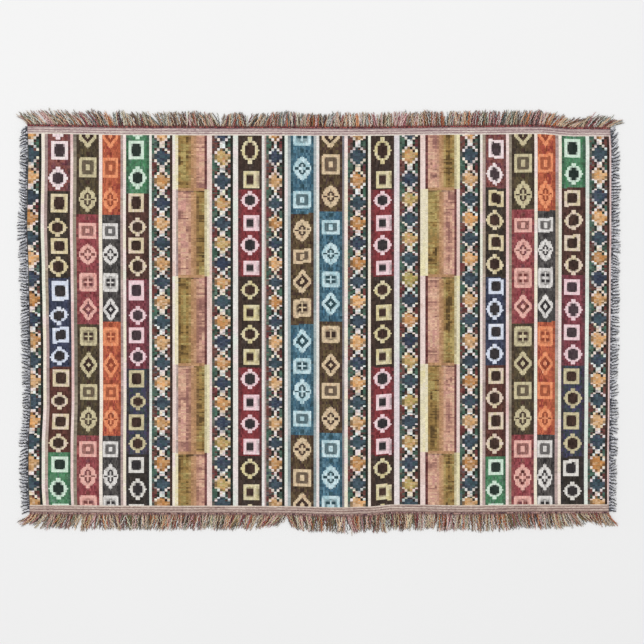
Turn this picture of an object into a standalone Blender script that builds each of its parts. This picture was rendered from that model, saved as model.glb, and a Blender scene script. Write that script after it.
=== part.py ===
"""A woven throw blanket, laid out flat: one cloth with a ribbed heading at both ends, and a fringe on all
four edges.

X runs across the cloth, Y along its stripes and Z up. The blanket rests on the plane Z = 0, and the origin
is under the middle of its outline, fringe included.
"""

import math
import random

import bmesh
import bpy

# The cloth without its fringe, in metres.
CLOTH_WIDTH = 1.316
CLOTH_LENGTH = 0.870
CLOTH_THICK = 0.0024

# The heading: a band of plain ribs at each end of the cloth.
HEADING_WIDTH = 0.0165
HEADING_THICK = 0.0016
RIB_COUNT = 3
RIB_HEIGHT = 0.0005
HEADING_STEP = 0.0020

# Cells of the cloth's mesh across it, and along it between the headings.
CELLS_ACROSS = 44
CELLS_ALONG = 26

# How far each edge strays from a straight line, outwards, as (share of the edge, metres).
# Shares run from left to right and from the near edge to the far one.
FAR_EDGE = ((0.0, 0.0036), (0.17, 0.0002), (0.37, -0.0007), (0.56, -0.0016), (0.75, 0.0011),
            (0.875, 0.0027), (0.94, -0.0032), (1.0, -0.0027))
NEAR_EDGE = ((0.0, -0.0009), (0.17, 0.0007), (0.35, 0.0007), (0.44, 0.0016), (0.535, 0.0047),
             (0.58, 0.0029), (0.63, -0.0027), (0.74, 0.0), (0.88, -0.0023), (1.0, -0.0023))
LEFT_EDGE = ((0.0, -0.0023), (0.08, 0.0014), (0.17, 0.0011), (0.29, -0.0041), (0.41, -0.0034),
             (0.53, -0.0011), (0.62, 0.0009), (0.74, 0.0043), (0.92, 0.0018), (1.0, 0.0025))
RIGHT_EDGE = ((0.0, -0.0032), (0.09, -0.0041), (0.29, -0.0018), (0.60, 0.0009), (0.74, 0.0020),
              (0.94, 0.0020), (1.0, 0.0))

# Where an edge is drawn in, the cloth stands up a little there, as
# (share of the edge, half width, how far it runs into the cloth, height).
FAR_RIPPLES = ((0.10, 0.080, 0.085, 0.0022), (0.945, 0.070, 0.120, 0.0040))
NEAR_RIPPLES = ((0.26, 0.070, 0.080, 0.0024), (0.635, 0.080, 0.130, 0.0046), (0.885, 0.060, 0.080, 0.0024))
LEFT_RIPPLES = ((0.33, 0.110, 0.090, 0.0042),)
RIGHT_RIPPLES = ((0.10, 0.080, 0.080, 0.0034),)

# The fringe: a strip of knotted-off yarn beside each edge, and the locks that grow from it.
PART_GAP = 0.0003
STRIP_WIDTH = 0.0050
STRIP_THICK = 0.0018
END_LOCKS = 88
SIDE_LOCKS = 62
END_LOCK_LENGTH = 0.0385
SIDE_LOCK_LENGTH = 0.0185
# Share of a lock's pitch that is yarn at its root, its middle and its tip.
END_LOCK_SHARES = (0.84, 0.66, 0.26)
SIDE_LOCK_SHARES = (0.62, 0.46, 0.20)
# Height of a lock at its middle and its tip.
END_LOCK_HEIGHTS = (0.0034, 0.0018)
SIDE_LOCK_HEIGHTS = (0.0024, 0.0014)
# How far out the middle of a lock is, and how much of its lean it has there.
MIDDLE_OUT = 0.55
MIDDLE_LEAN = 0.42
# The least distance between two tips, as a share of the pitch.
TIP_SPACING = 0.46
LEAN_JITTER = 4.0
LENGTH_JITTER = 0.07

# How the locks lie, as (share of the edge, degrees from straight out, share of the full length).
# Positive degrees lean to the right on the near and far edges, and away from the near edge on the sides.
# Two rows at nearly one share are a parting.
FAR_LIE = ((0.0, -50, 1.0), (0.03, -40, 1.08), (0.08, -42, 1.08), (0.13, -31, 1.04), (0.16, -8, 0.94),
           (0.20, -20, 0.97), (0.225, -52, 0.95), (0.226, -18, 0.93), (0.28, -6, 0.93), (0.325, -22, 0.93),
           (0.326, 24, 0.80), (0.35, 2, 0.86), (0.372, -12, 0.86), (0.373, 34, 0.86), (0.40, 10, 0.92),
           (0.47, 0, 0.90), (0.53, 8, 0.90), (0.58, -4, 0.88), (0.65, 8, 0.93), (0.69, -6, 0.91),
           (0.73, 8, 0.91), (0.82, 12, 0.93), (0.875, 14, 0.93), (0.90, 34, 0.88), (0.906, 54, 0.88),
           (0.95, 46, 0.98), (0.98, 42, 1.0), (1.0, 62, 1.05))
NEAR_LIE = ((0.0, -50, 1.0), (0.03, -40, 1.0), (0.06, -24, 0.96), (0.10, -14, 1.0), (0.128, -12, 0.98),
            (0.129, 5, 0.96), (0.20, -6, 0.97), (0.28, -12, 0.95), (0.36, -16, 0.97), (0.40, -26, 0.98),
            (0.438, -42, 0.88), (0.439, 30, 0.80), (0.465, 16, 0.96), (0.51, -2, 1.0), (0.52, 6, 0.94),
            (0.56, 2, 1.0), (0.60, -6, 1.0), (0.66, 6, 0.97), (0.72, -4, 0.97), (0.80, 8, 0.97),
            (0.88, 16, 0.99), (0.945, 26, 0.98), (0.962, 46, 0.86), (0.965, 30, 0.76), (1.0, 42, 0.92))
LEFT_LIE = ((0.0, -22, 0.9), (0.08, 14, 1.0), (0.16, -18, 1.0), (0.24, 12, 0.95), (0.33, -12, 0.9),
            (0.42, 16, 1.0), (0.50, -20, 1.0), (0.60, 14, 1.0), (0.70, -24, 1.05), (0.78, 22, 1.05),
            (0.88, 26, 0.95), (0.94, -16, 0.95), (1.0, -30, 0.9))
RIGHT_LIE = ((0.0, -24, 0.9), (0.06, -18, 0.95), (0.12, 14, 0.95), (0.20, -14, 1.0), (0.30, 10, 1.0),
             (0.40, 16, 1.0), (0.48, -14, 1.0), (0.58, 12, 1.0), (0.68, -18, 1.0), (0.78, 16, 1.0),
             (0.88, -12, 1.0), (0.95, 12, 1.0), (1.0, 16, 0.95))

# (name, outward direction, locks, full length, shares, heights, lie, seed) of each fringe.
FRINGES = (
    ("fringe_far", (0, 1), END_LOCKS, END_LOCK_LENGTH, END_LOCK_SHARES, END_LOCK_HEIGHTS, FAR_LIE, 11),
    ("fringe_near", (0, -1), END_LOCKS, END_LOCK_LENGTH, END_LOCK_SHARES, END_LOCK_HEIGHTS, NEAR_LIE, 12),
    ("fringe_left", (-1, 0), SIDE_LOCKS, SIDE_LOCK_LENGTH, SIDE_LOCK_SHARES, SIDE_LOCK_HEIGHTS, LEFT_LIE, 13),
    ("fringe_right", (1, 0), SIDE_LOCKS, SIDE_LOCK_LENGTH, SIDE_LOCK_SHARES, SIDE_LOCK_HEIGHTS, RIGHT_LIE, 14),
)

# (colour, roughness) of the pieces' plain finishes.
CLOTH_FINISH = ((0.30, 0.22, 0.17), 0.92)
END_FRINGE_FINISH = ((0.42, 0.33, 0.28), 0.95)
SIDE_FRINGE_FINISH = ((0.36, 0.37, 0.40), 0.95)


def clear_scene():
    """Empties the scene."""
    for thing in list(bpy.data.objects):
        bpy.data.objects.remove(thing, do_unlink=True)


def read_table(table, share):
    """The values of a table's rows at a share between them, in straight steps."""
    for low, high in zip(table, table[1:]):
        if share <= high[0]:
            part = (share - low[0]) / (high[0] - low[0])
            return [a + (b - a) * part for a, b in zip(low[1:], high[1:])]
    return list(table[-1][1:])


def eased(table, share):
    """The one value of a table at a share, with a soft turn at each row."""
    for low, high in zip(table, table[1:]):
        if share <= high[0]:
            part = (share - low[0]) / (high[0] - low[0])
            return low[1] + (high[1] - low[1]) * part * part * (3 - 2 * part)
    return table[-1][1]


def hump(offset):
    """A soft hump of height 1 at 0 that is flat beyond 1 either way."""
    return math.cos(math.pi / 2 * min(1.0, abs(offset))) ** 2


def ripple(table, along, length, inward):
    """How high an edge's ripples lift the cloth at a place along the edge and inward of it."""
    return sum(
        height * hump((along - share * length) / half) * hump(inward / reach)
        for share, half, reach, height in table
    )


def lift_at(s, t):
    """How high the cloth's underside is at a share across and along it."""
    across, along = s * CLOTH_WIDTH, t * CLOTH_LENGTH
    return (
        ripple(FAR_RIPPLES, across, CLOTH_WIDTH, CLOTH_LENGTH - along)
        + ripple(NEAR_RIPPLES, across, CLOTH_WIDTH, along)
        + ripple(LEFT_RIPPLES, along, CLOTH_LENGTH, across)
        + ripple(RIGHT_RIPPLES, along, CLOTH_LENGTH, CLOTH_WIDTH - across)
    )


def under_side(s, t):
    """The place of the cloth's underside at a share across and along it."""
    x = (s - 0.5) * CLOTH_WIDTH - (1 - s) * eased(LEFT_EDGE, t) + s * eased(RIGHT_EDGE, t)
    y = (t - 0.5) * CLOTH_LENGTH - (1 - t) * eased(NEAR_EDGE, s) + t * eased(FAR_EDGE, s)
    return x, y, lift_at(s, t)


def heading_rows():
    """Each row of the heading from its edge inwards, as (distance from the edge, thickness)."""
    half = HEADING_WIDTH / (2 * RIB_COUNT)
    rows = [(n * half, HEADING_THICK + RIB_HEIGHT * (n % 2)) for n in range(2 * RIB_COUNT + 1)]
    return rows + [(HEADING_WIDTH + HEADING_STEP, CLOTH_THICK)]


def cloth_rows():
    """Each row of the cloth's mesh along it, as (share, thickness)."""
    near = [(distance / CLOTH_LENGTH, thick) for distance, thick in heading_rows()]
    first = near[-1][0]
    step = (1 - 2 * first) / CELLS_ALONG
    middle = [(first + n * step, CLOTH_THICK) for n in range(1, CELLS_ALONG)]
    far = [(1 - share, thick) for share, thick in reversed(near)]
    return near + middle + far


def slab(columns, rows):
    """A slab of cells with its corners at whole numbers: columns along X, rows along Y and one up Z."""
    made = bmesh.new()
    bmesh.ops.create_grid(made, x_segments=columns, y_segments=rows, size=0.5)
    bmesh.ops.scale(made, vec=(columns, rows, 1), verts=made.verts)
    bmesh.ops.translate(made, vec=(columns / 2, rows / 2, 0), verts=made.verts)
    raised = bmesh.ops.extrude_face_region(made, geom=made.faces[:])
    upper = [v for v in raised["geom"] if isinstance(v, bmesh.types.BMVert)]
    bmesh.ops.translate(made, vec=(0, 0, 1), verts=upper)
    return made


def put_in_place(made, place, mirrored=False):
    """Moves each corner from its whole numbers to its real place."""
    bmesh.ops.recalc_face_normals(made, faces=made.faces)
    for vert in made.verts:
        vert.co = place(*(round(value) for value in vert.co))
    if mirrored:
        bmesh.ops.reverse_faces(made, faces=made.faces)


def as_object(name, made, finish):
    """An object of this mesh, with its plain finish."""
    mesh = bpy.data.meshes.new(name)
    made.to_mesh(mesh)
    made.free()
    thing = bpy.data.objects.new(name, mesh)
    bpy.context.scene.collection.objects.link(thing)
    colour, roughness = finish
    material = bpy.data.materials.new(name)
    material.use_nodes = True
    shader = material.node_tree.nodes["Principled BSDF"]
    shader.inputs["Base Color"].default_value = (*colour, 1)
    shader.inputs["Roughness"].default_value = roughness
    shader.inputs["Metallic"].default_value = 0
    mesh.materials.append(material)
    return thing


def build_cloth():
    """The cloth: one slab with ribbed, thinner headings and a few soft ripples at its edges."""
    rows = cloth_rows()
    made = slab(CELLS_ACROSS, len(rows) - 1)

    def place(column, row, layer):
        share, thick = rows[row]
        x, y, z = under_side(column / CELLS_ACROSS, share)
        return x, y, z + layer * thick

    put_in_place(made, place)
    return as_object("woven_cloth", made, CLOTH_FINISH)


def edge_point(outward, share):
    """The place of the cloth's edge on this side, at a share along it, on the straight lines of its mesh."""
    if outward[0]:
        s = (1 + outward[0]) / 2
        shares = [row[0] for row in cloth_rows()]
        ends = [(t, *under_side(s, t)) for t in shares]
    else:
        t = (1 + outward[1]) / 2
        ends = [(n / CELLS_ACROSS, *under_side(n / CELLS_ACROSS, t)) for n in range(CELLS_ACROSS + 1)]
    return read_table(ends, share)


def lie_of_locks(locks, pitch, length, lie, seed):
    """Each lock's tip as (shift along the edge, distance out), combed so that no tip crosses the next."""
    rng = random.Random(seed)
    tips = []
    for n in range(locks):
        degrees, full = read_table(lie, (n + 0.5) / locks)
        angle = math.radians(degrees + rng.uniform(-LEAN_JITTER, LEAN_JITTER))
        reach = length * full * (1 + rng.uniform(-LENGTH_JITTER, LENGTH_JITTER))
        tips.append([reach * math.sin(angle), reach * math.cos(angle)])
    closest = pitch * (TIP_SPACING - 1)
    for before, after in zip(tips, tips[1:]):
        crossing = before[0] + closest - after[0]
        if crossing > 0:
            before[0] -= crossing / 2
            after[0] += crossing / 2
    return tips


def build_fringe(name, outward, locks, length, shares, heights, lie, seed):
    """A fringe: a strip beside one edge, with every other cell of its outer wall drawn out into a lock."""
    made = slab(2 * locks + 1, 1)
    ends = [
        face
        for face in made.faces
        if face.calc_center_median().y > 0.99 and int(face.calc_center_median().x) % 2 == 1
    ]
    for _ in range(2):
        ends = bmesh.ops.extrude_discrete_faces(made, faces=ends)["faces"]
        corners = {vert for face in ends for vert in face.verts}
        bmesh.ops.translate(made, vec=(0, 1, 0), verts=list(corners))

    edge_length = CLOTH_LENGTH if outward[0] else CLOTH_WIDTH
    pitch = edge_length / locks
    tips = lie_of_locks(locks, pitch, length, lie, seed)
    along = (0, 1) if outward[0] else (1, 0)
    root_out = PART_GAP + STRIP_WIDTH

    def place(column, row, layer):
        lock = min(locks - 1, max(0, (column - 1) // 2))
        side = 0.5 if column % 2 == 0 else -0.5
        if column in (0, 2 * locks + 1):
            share = column / (2 * locks + 1)
        else:
            share = (lock + 0.5 + side * shares[0]) / locks
        x, y, lift = edge_point(outward, share)
        if row < 2:
            out, shift = (PART_GAP, root_out)[row], 0
            z = lift + layer * STRIP_THICK
        else:
            tip_shift, tip_out = tips[lock]
            part, lean = ((MIDDLE_OUT, MIDDLE_LEAN), (1, 1))[row - 2]
            narrowed = side * pitch * (shares[row - 1] - shares[0])
            out, shift = root_out + part * tip_out, lean * tip_shift + narrowed
            z = layer * heights[row - 2]
        return (x + out * outward[0] + shift * along[0], y + out * outward[1] + shift * along[1], z)

    turns_left = along[0] * outward[1] - along[1] * outward[0]
    put_in_place(made, place, mirrored=turns_left < 0)
    finish = SIDE_FRINGE_FINISH if outward[0] else END_FRINGE_FINISH
    return as_object(name, made, finish)


def centre_on_origin(things):
    """Moves every mesh so that the origin is under the middle of the whole outline."""
    corners = [vert.co for thing in things for vert in thing.data.vertices]
    middle_x = (min(c.x for c in corners) + max(c.x for c in corners)) / 2
    middle_y = (min(c.y for c in corners) + max(c.y for c in corners)) / 2
    for thing in things:
        for vert in thing.data.vertices:
            vert.co.x -= middle_x
            vert.co.y -= middle_y


def main():
    clear_scene()
    things = [build_cloth()]
    things += [build_fringe(*row) for row in FRINGES]
    centre_on_origin(things)


main()
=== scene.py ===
"""A woven throw blanket, laid out flat on a pale studio floor.

The cloth is a figured weave of many coloured yarns: lengthwise stripes of small stepped diamonds, boxes,
flowers and checks, with a plain ribbed heading at each end. Its own yarns make the fringe on all four edges.
X runs across the cloth, Y along its stripes and Z up. Sizes are metres, unless a name ends in MM.
"""

from __future__ import annotations

import logging
import math
from dataclasses import dataclass, field
from enum import Enum
from typing import Optional

import bmesh
import bpy
import numpy as np
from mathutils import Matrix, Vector


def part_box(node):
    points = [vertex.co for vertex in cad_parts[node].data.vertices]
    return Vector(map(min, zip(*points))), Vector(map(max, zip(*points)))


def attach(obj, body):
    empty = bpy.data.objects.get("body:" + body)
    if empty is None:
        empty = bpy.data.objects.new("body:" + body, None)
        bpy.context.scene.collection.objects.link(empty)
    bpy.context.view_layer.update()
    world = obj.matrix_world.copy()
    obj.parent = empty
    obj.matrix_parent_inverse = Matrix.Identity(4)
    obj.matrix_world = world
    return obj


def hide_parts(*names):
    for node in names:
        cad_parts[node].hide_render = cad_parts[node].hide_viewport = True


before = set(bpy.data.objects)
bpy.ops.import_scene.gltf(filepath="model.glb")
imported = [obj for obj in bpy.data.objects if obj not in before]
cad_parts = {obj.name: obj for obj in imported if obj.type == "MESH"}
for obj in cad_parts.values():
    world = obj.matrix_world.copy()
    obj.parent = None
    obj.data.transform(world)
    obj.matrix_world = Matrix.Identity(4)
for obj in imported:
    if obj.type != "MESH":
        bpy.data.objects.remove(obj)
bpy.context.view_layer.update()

log = logging.getLogger("throw")

# The cloth, as in the frame's model.
CLOTH_WIDTH = 1.316
CLOTH_LENGTH = 0.870
CLOTH_THICK = 0.0024
HEADING_WIDTH = 0.0165
HEADING_THICK = 0.0016
RIB_COUNT = 3
RIB_HEIGHT = 0.0005

# How far each edge strays from a straight line, outwards, as (share of the edge, metres).
FAR_EDGE = ((0.0, 0.0036), (0.17, 0.0002), (0.37, -0.0007), (0.56, -0.0016), (0.75, 0.0011),
            (0.875, 0.0027), (0.94, -0.0032), (1.0, -0.0027))
NEAR_EDGE = ((0.0, -0.0009), (0.17, 0.0007), (0.35, 0.0007), (0.44, 0.0016), (0.535, 0.0047),
             (0.58, 0.0029), (0.63, -0.0027), (0.74, 0.0), (0.88, -0.0023), (1.0, -0.0023))
LEFT_EDGE = ((0.0, -0.0023), (0.08, 0.0014), (0.17, 0.0011), (0.29, -0.0041), (0.41, -0.0034),
             (0.53, -0.0011), (0.62, 0.0009), (0.74, 0.0043), (0.92, 0.0018), (1.0, 0.0025))
RIGHT_EDGE = ((0.0, -0.0032), (0.09, -0.0041), (0.29, -0.0018), (0.60, 0.0009), (0.74, 0.0020),
              (0.94, 0.0020), (1.0, 0.0))

# The waves of the sides fade out quickly into the cloth, as this power of the share of the way across.
SIDE_FADE = 10

# Where an edge is drawn in, the cloth stands up a little there, as
# (share of the edge, half width, how far it runs into the cloth, height).
FAR_RIPPLES = ((0.10, 0.080, 0.085, 0.0022), (0.945, 0.070, 0.120, 0.0040))
NEAR_RIPPLES = ((0.26, 0.070, 0.080, 0.0024), (0.635, 0.080, 0.130, 0.0046), (0.885, 0.060, 0.080, 0.0024))
LEFT_RIPPLES = ((0.33, 0.110, 0.090, 0.0042),)
RIGHT_RIPPLES = ((0.10, 0.080, 0.080, 0.0034),)

# The fringe's root strip, and how far out the middle of a lock is, and how much of its lean it has there.
PART_GAP = 0.0003
STRIP_WIDTH = 0.0050
STRIP_THICK = 0.0018
MIDDLE_OUT = 0.55
MIDDLE_LEAN = 0.42

# How the locks lie, as (share of the edge, degrees from straight out, share of the full length).
# Positive degrees lean to the right on the near and far edges, and away from the near edge on the sides.
# Two rows at nearly one share are a parting.
FAR_LIE = ((0.0, -50, 1.0), (0.03, -40, 1.08), (0.08, -42, 1.08), (0.13, -31, 1.04), (0.16, -8, 0.94),
           (0.20, -20, 0.97), (0.225, -52, 0.95), (0.226, -18, 0.93), (0.28, -6, 0.93), (0.325, -22, 0.93),
           (0.326, 24, 0.80), (0.35, 2, 0.86), (0.372, -12, 0.86), (0.373, 34, 0.86), (0.40, 10, 0.92),
           (0.47, 0, 0.90), (0.53, 8, 0.90), (0.58, -4, 0.88), (0.65, 8, 0.93), (0.69, -6, 0.91),
           (0.73, 8, 0.91), (0.82, 12, 0.93), (0.875, 14, 0.93), (0.90, 34, 0.88), (0.906, 54, 0.88),
           (0.95, 46, 0.98), (0.98, 42, 1.0), (1.0, 62, 1.05))
NEAR_LIE = ((0.0, -50, 1.0), (0.03, -40, 1.0), (0.06, -24, 0.96), (0.10, -14, 1.0), (0.128, -18, 0.95),
            (0.129, 11, 0.93), (0.20, -6, 0.97), (0.28, -12, 0.95), (0.36, -16, 0.97), (0.40, -26, 0.98),
            (0.438, -42, 0.88), (0.439, 30, 0.80), (0.465, 16, 0.98), (0.50, 2, 1.04), (0.5165, -20, 0.86),
            (0.5175, 26, 0.92), (0.535, 0, 1.06), (0.5485, -15, 1.04), (0.5495, 15, 1.04), (0.56, 0, 1.06),
            (0.5735, -20, 1.0), (0.5745, 16, 1.0), (0.60, -2, 1.06), (0.665, 4, 1.05), (0.672, -8, 0.98),
            (0.73, -4, 1.03), (0.80, 8, 1.02), (0.88, 16, 1.03), (0.93, 24, 0.99), (0.945, 30, 0.82),
            (0.962, 42, 0.80), (0.975, 32, 0.82), (1.0, 24, 0.96))
LEFT_LIE = ((0.0, -22, 0.9), (0.08, 14, 1.0), (0.16, -18, 1.0), (0.24, 12, 0.95), (0.33, -12, 0.9),
            (0.42, 16, 1.0), (0.50, -20, 1.0), (0.60, 14, 1.0), (0.70, -24, 1.05), (0.78, 22, 1.05),
            (0.88, 26, 0.95), (0.94, -16, 0.95), (1.0, -30, 0.9))
RIGHT_LIE = ((0.0, -24, 0.9), (0.06, -18, 0.95), (0.12, 14, 0.95), (0.20, -14, 1.0), (0.30, 10, 1.0),
             (0.40, 16, 1.0), (0.48, -14, 1.0), (0.58, 12, 1.0), (0.68, -18, 1.0), (0.78, 16, 1.0),
             (0.88, -4, 1.0), (0.93, 26, 1.0), (0.97, 42, 1.0), (1.0, 48, 1.0))

# Names that the meshes and the finishes share.
YARN_COLOUR = "yarn"
BAKE_MAP = "OFBake"
PLY_MAP = "Ply"

# A row of the weave's chart is a little over 3 mm of cloth. The underside shows one cell for this many rows.
CHART_ROWS = 260
UNDER_ROWS = 9


@dataclass(frozen=True)
class Yarn:
    """A dyed yarn: the shades it runs through, and how unevenly it took the dye."""

    shades: str
    unevenness: float


# The yarns of the cloth. Each name is what a weaver might write on the cone.
YARNS = {
    "maroon": Yarn("#4E2022 #6E3230 #8A5248 #74404A #5C1E24", 0.22),
    "charcoal": Yarn("#28241E #3A342E #463C32 #322C2A #504438", 0.24),
    "navy": Yarn("#262A40 #343A52 #464A60 #2E3448 #3C4450", 0.22),
    "brown": Yarn("#4A2824 #623A32 #543028 #6E463A", 0.22),
    "green": Yarn("#3A6446 #4C7A56 #5A8A68 #3A7E50 #668674 #34583F", 0.16),
    "umber": Yarn("#3A2620 #503630 #5C3C34 #46302A", 0.22),
    "crimson": Yarn("#5A2228 #722E3A #84404A #6A3038 #7A2A3E", 0.20),
    "slate": Yarn("#30303C #42434F #3E4A48 #403C60 #4C4A52 #383A48", 0.20),
    "black": Yarn("#26221E #38322E #443C38", 0.20),
    "peat": Yarn("#32281F #46372F #3C302A #4E4440", 0.24),
    "red": Yarn("#5E1C22 #7A2A30 #8A3438 #6A2026", 0.20),
    "olive": Yarn("#3E3A36 #463A30 #504634 #5E5034 #302E32", 0.24),
    "brick": Yarn("#742830 #8A343C #98484C #7C2C32 #A65E60", 0.20),
    "rust": Yarn("#A03E28 #B85632 #BE5E34 #96342C #A84A28", 0.18),
    "pewter": Yarn("#2C2A2A #4A4644 #5C5856 #3A3636 #6A6462", 0.26),
    "azure": Yarn("#2E4A5A #426E82 #5C8292 #34586C #3C6A80 #3E5A7A", 0.22),
    "walnut": Yarn("#3E2C22 #54402E #665638 #4A3430 #3A3434", 0.24),
    "blush": Yarn("#F4E0DE #F0D8DC #F6E8E4 #E6CCD0", 0.05),
    "straw": Yarn("#DCCFA8 #D2C090 #E6D8B4 #CDB694", 0.07),
    "ice": Yarn("#E2E6F2 #D2DAEC #F0F0F4", 0.05),
    "sand": Yarn("#E0C6A8 #D8C8A0 #E6D2C0 #D8B8A0", 0.07),
    "mint": Yarn("#DCEEDD #CBE4CE #EAF4E8", 0.05),
    "lemon": Yarn("#DCD09C #D4C48C #E2D8B0 #D6BEA0", 0.08),
    "rose": Yarn("#F2D8DA #EEC8CE #F6E6E4", 0.06),
    "bone": Yarn("#D8D2C8 #E6E2DC #C4BCB0", 0.06),
    "khaki": Yarn("#C4B68C #D0C49C #B8A880", 0.10),
    "salmon": Yarn("#E09A8C #EBB5A8 #D88C80", 0.08),
    "apricot": Yarn("#E8824E #F09662 #E07A44 #F4AA80", 0.08),
    "fog": Yarn("#CFC9C2 #E6E2DE #B6B0AA", 0.10),
    "sky": Yarn("#B4D4DA #A4C8D0 #D0E6EA #C0DCE4", 0.08),
    "camel": Yarn("#CDB48A #DCC4A0 #C4A07A", 0.10),
    "ink": Yarn("#2C2A2C #383436 #423A3A", 0.14),
    "smoke": Yarn("#38302E #4A3A40 #504446", 0.14),
    "pine": Yarn("#1E2A24 #2A3630 #343C36", 0.14),
    "bark": Yarn("#2E2018 #42302A #50382E", 0.16),
    "ember": Yarn("#8E3A20 #9A4424 #7E3020", 0.14),
    "lagoon": Yarn("#243C44 #2E4A52 #34545C", 0.14),
    "moss": Yarn("#22342C #3E5A4C #4A6A58 #5A6E60 #34483C", 0.20),
    "wine": Yarn("#5E4038 #6E4A44 #704038 #6A2E30 #7E4448", 0.20),
    "denim": Yarn("#3E4A58 #4A5A66 #3A545A #4E5666 #343E54", 0.18),
    "amber": Yarn("#C0803C #B88850 #CC9A60 #D8B080 #DC9C54", 0.12),
    "gold": Yarn("#A89C50 #B89858 #C8A868 #C8905A #C88A48", 0.12),
    "soot": Yarn("#1E1C18 #2C2822 #26302C #3A2A22", 0.20),
    "stone": Yarn("#4A4A46 #5E5A54 #6A6A60 #4E4440", 0.20),
    "pearl": Yarn("#F4EEEA #E6F2EC #F2DCDC #F4E8C8 #E4DEEC", 0.08),
    "ochre": Yarn("#5E4826 #826432 #98783C #A48448 #8E7C44 #B29C5C", 0.12),
    "coral": Yarn("#94645A #B2806E #C4907A #D4A286 #DEB494 #C89082", 0.10),
    "tan": Yarn("#B4845A #C09266 #A87850 #CA9C70", 0.10),
    "cream": Yarn("#F2E6DA #F0E6CC #F4DEDC #EAEAD8", 0.04),
    "chalk": Yarn("#F0EAE6 #E4E2DA #EEDEDC #E0E6DC", 0.04),
    "petal": Yarn("#F0CFCB #F2DCD6 #E8C0BC", 0.05),
    "taupe": Yarn("#8C8272 #A0937F #7C7468", 0.12),
    "mauve": Yarn("#B59A98 #A48E88 #C0A8A2 #A89884", 0.12),
    "butter": Yarn("#EADFB0 #E6DCB8 #EADFC6 #E2D6A0", 0.06),
    "shell": Yarn("#E8D0C8 #EED8D0 #E4C4B8", 0.05),
    "lichen": Yarn("#E6ECE2 #DAE2D8 #ECE8DE", 0.05),
    "mist": Yarn("#9AA8A8 #B0B8B8 #8A9698", 0.08),
    "lilac": Yarn("#E8DEDA #E6D6DA #DCD4D8 #E4E4DC", 0.05),
    "ash": Yarn("#8A8486 #7A7A80 #9A908E", 0.10),
    "garnet": Yarn("#5E2A28 #7A4A48 #6A3A3A", 0.20),
    "ribbing": Yarn("#7E5E66 #9A7E80 #B8A09C #D0BCB6 #E8DCCE", 0.08),
    "near ribbing": Yarn("#76585A #94786F #AE948A #C6B0A4 #DCCBBC", 0.08),
}
YARN_NUMBER = {name: number for number, name in enumerate(YARNS)}

# What a chart's letters stand for, as how much of the cell is figure yarn instead of the centre's.
CENTRE_SHARES = {"#": 1.0, "l": 0.74, "m": 0.42, "d": 0.16, "o": 0.0}

# The letter h is a haze round a figure: this much figure yarn over the ground.
HAZE_SHARE = 0.30

# How many cells wide a figure is, and the fewest rows between two figures that leave room for a spot.
FIGURE_CELLS = 13
SPOT_GAP = 4


def mirrored(upper: str, doubled: bool = False) -> tuple[str, ...]:
    """The rows of a figure whose lower half mirrors its upper one.

    Args:
        upper: its rows down to the middle one.
        doubled: whether it has two middle rows.

    Returns:
        All its rows.
    """
    rows = upper.split()
    return (*rows, *rows[::-1][0 if doubled else 1:])


class Motif(Enum):
    """The small figures of the stripes, each charted as one repeat."""

    BOX = mirrored("..########### ..########### ..##mooooom## ..##ooooooo## ..##ooooooo## ..##ooooooo##")
    FRAMED_BOX = mirrored(
        "..########### ..#########ll ..##mmmmm##ll ..##ooooo##lm ..##ooooo##lm ..##ooooo##lm"
    )
    DIAMOND = mirrored(
        ".....###..... .....###..... ...##l#l##... ..##mooom##.. .##ooooooo##. .##ooooooo##. ###ooooooo###"
    )
    SMALL_BOX = mirrored(
        "############# ############# ##mdddddddm## ##ddddddddd## ##ddd###ddd## ##ddd###ddd##", doubled=True
    )
    FLOWER = mirrored(
        "......h...... .....###..... ...l#####l... ..####m####.. .####ooo####. .###od#do###. ####od#do####"
        " #ooo#####ooo#"
    )
    CROSS = mirrored(
        "h###########h ############# ##lllmmmlll## ##lmmm#mmml## ##mooo#ooom## ##mooo#ooom## ##mm#####mm##"
    )
    RHOMB = mirrored(
        "......h...... .....###..... ....#####.... ...###o###... ..###ooo###.. .###ooooo###. ###ooo#ooo###"
        " ##ooo###ooo##"
    )
    SPOT = mirrored(".....ddd..... .....dod.....")


# The lattice's repeat of eight rows, from one diamond's middle to the next one's, at its two widths.
# b is the diamond, n its darker cells, W a light cell, k a dark one, x the stripe's edge, and g and m are
# the side yarns.
WIDE_LATTICE = "xnbbbbnx gWbbbnWm ggWnbWkm ggkWWkmm ggkWWkmm gkWnkWmm gWbbbkWm xnbbbbbx"
NARROW_LATTICE = "xnbbbnx gWbbnWm ggWnWkm ggkWkmm ggkWkmm gkWnWmm gWbbkWm xnbbbbx"

# The chart row of the middle of each diamond in the lattices, from the far heading. The rows of the weave
# run a little higher at the right of the cloth, and at its left edge.
LATTICE_CENTRES = (
    -2, 15, 32, 48, 62, 76, 90, 103, 117, 131, 145, 160, 174, 188, 202, 216, 230, 245, 259, 274,
)
HIGHER_CENTRES = (-3, 14, 31, 45, 59, 73, 87, 101, 116, 130, 144, 159, 173, 187, 201, 215, 230, 245, 259, 274)
SIDE_CENTRES = (-3, 13, 29, 43, 58, 72, 86, 100, 115, 129, 143, 158, 172, 186, 201, 215, 230, 245, 258, 273)

# The headings' ribs from the cloth's end inwards, from 0 for the darkest yarn to 1 for the palest.
HEADING_LINES = (0.35, 0.35, 0.62, 0.70, 0.22, 0.30, 0.72, 0.78, 0.28, 0.42, 0.85, 1.0)

# The chart rows where the checked stripes change sides.
CHECK_SWAPS = (38, 99, 161, 223)


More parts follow.
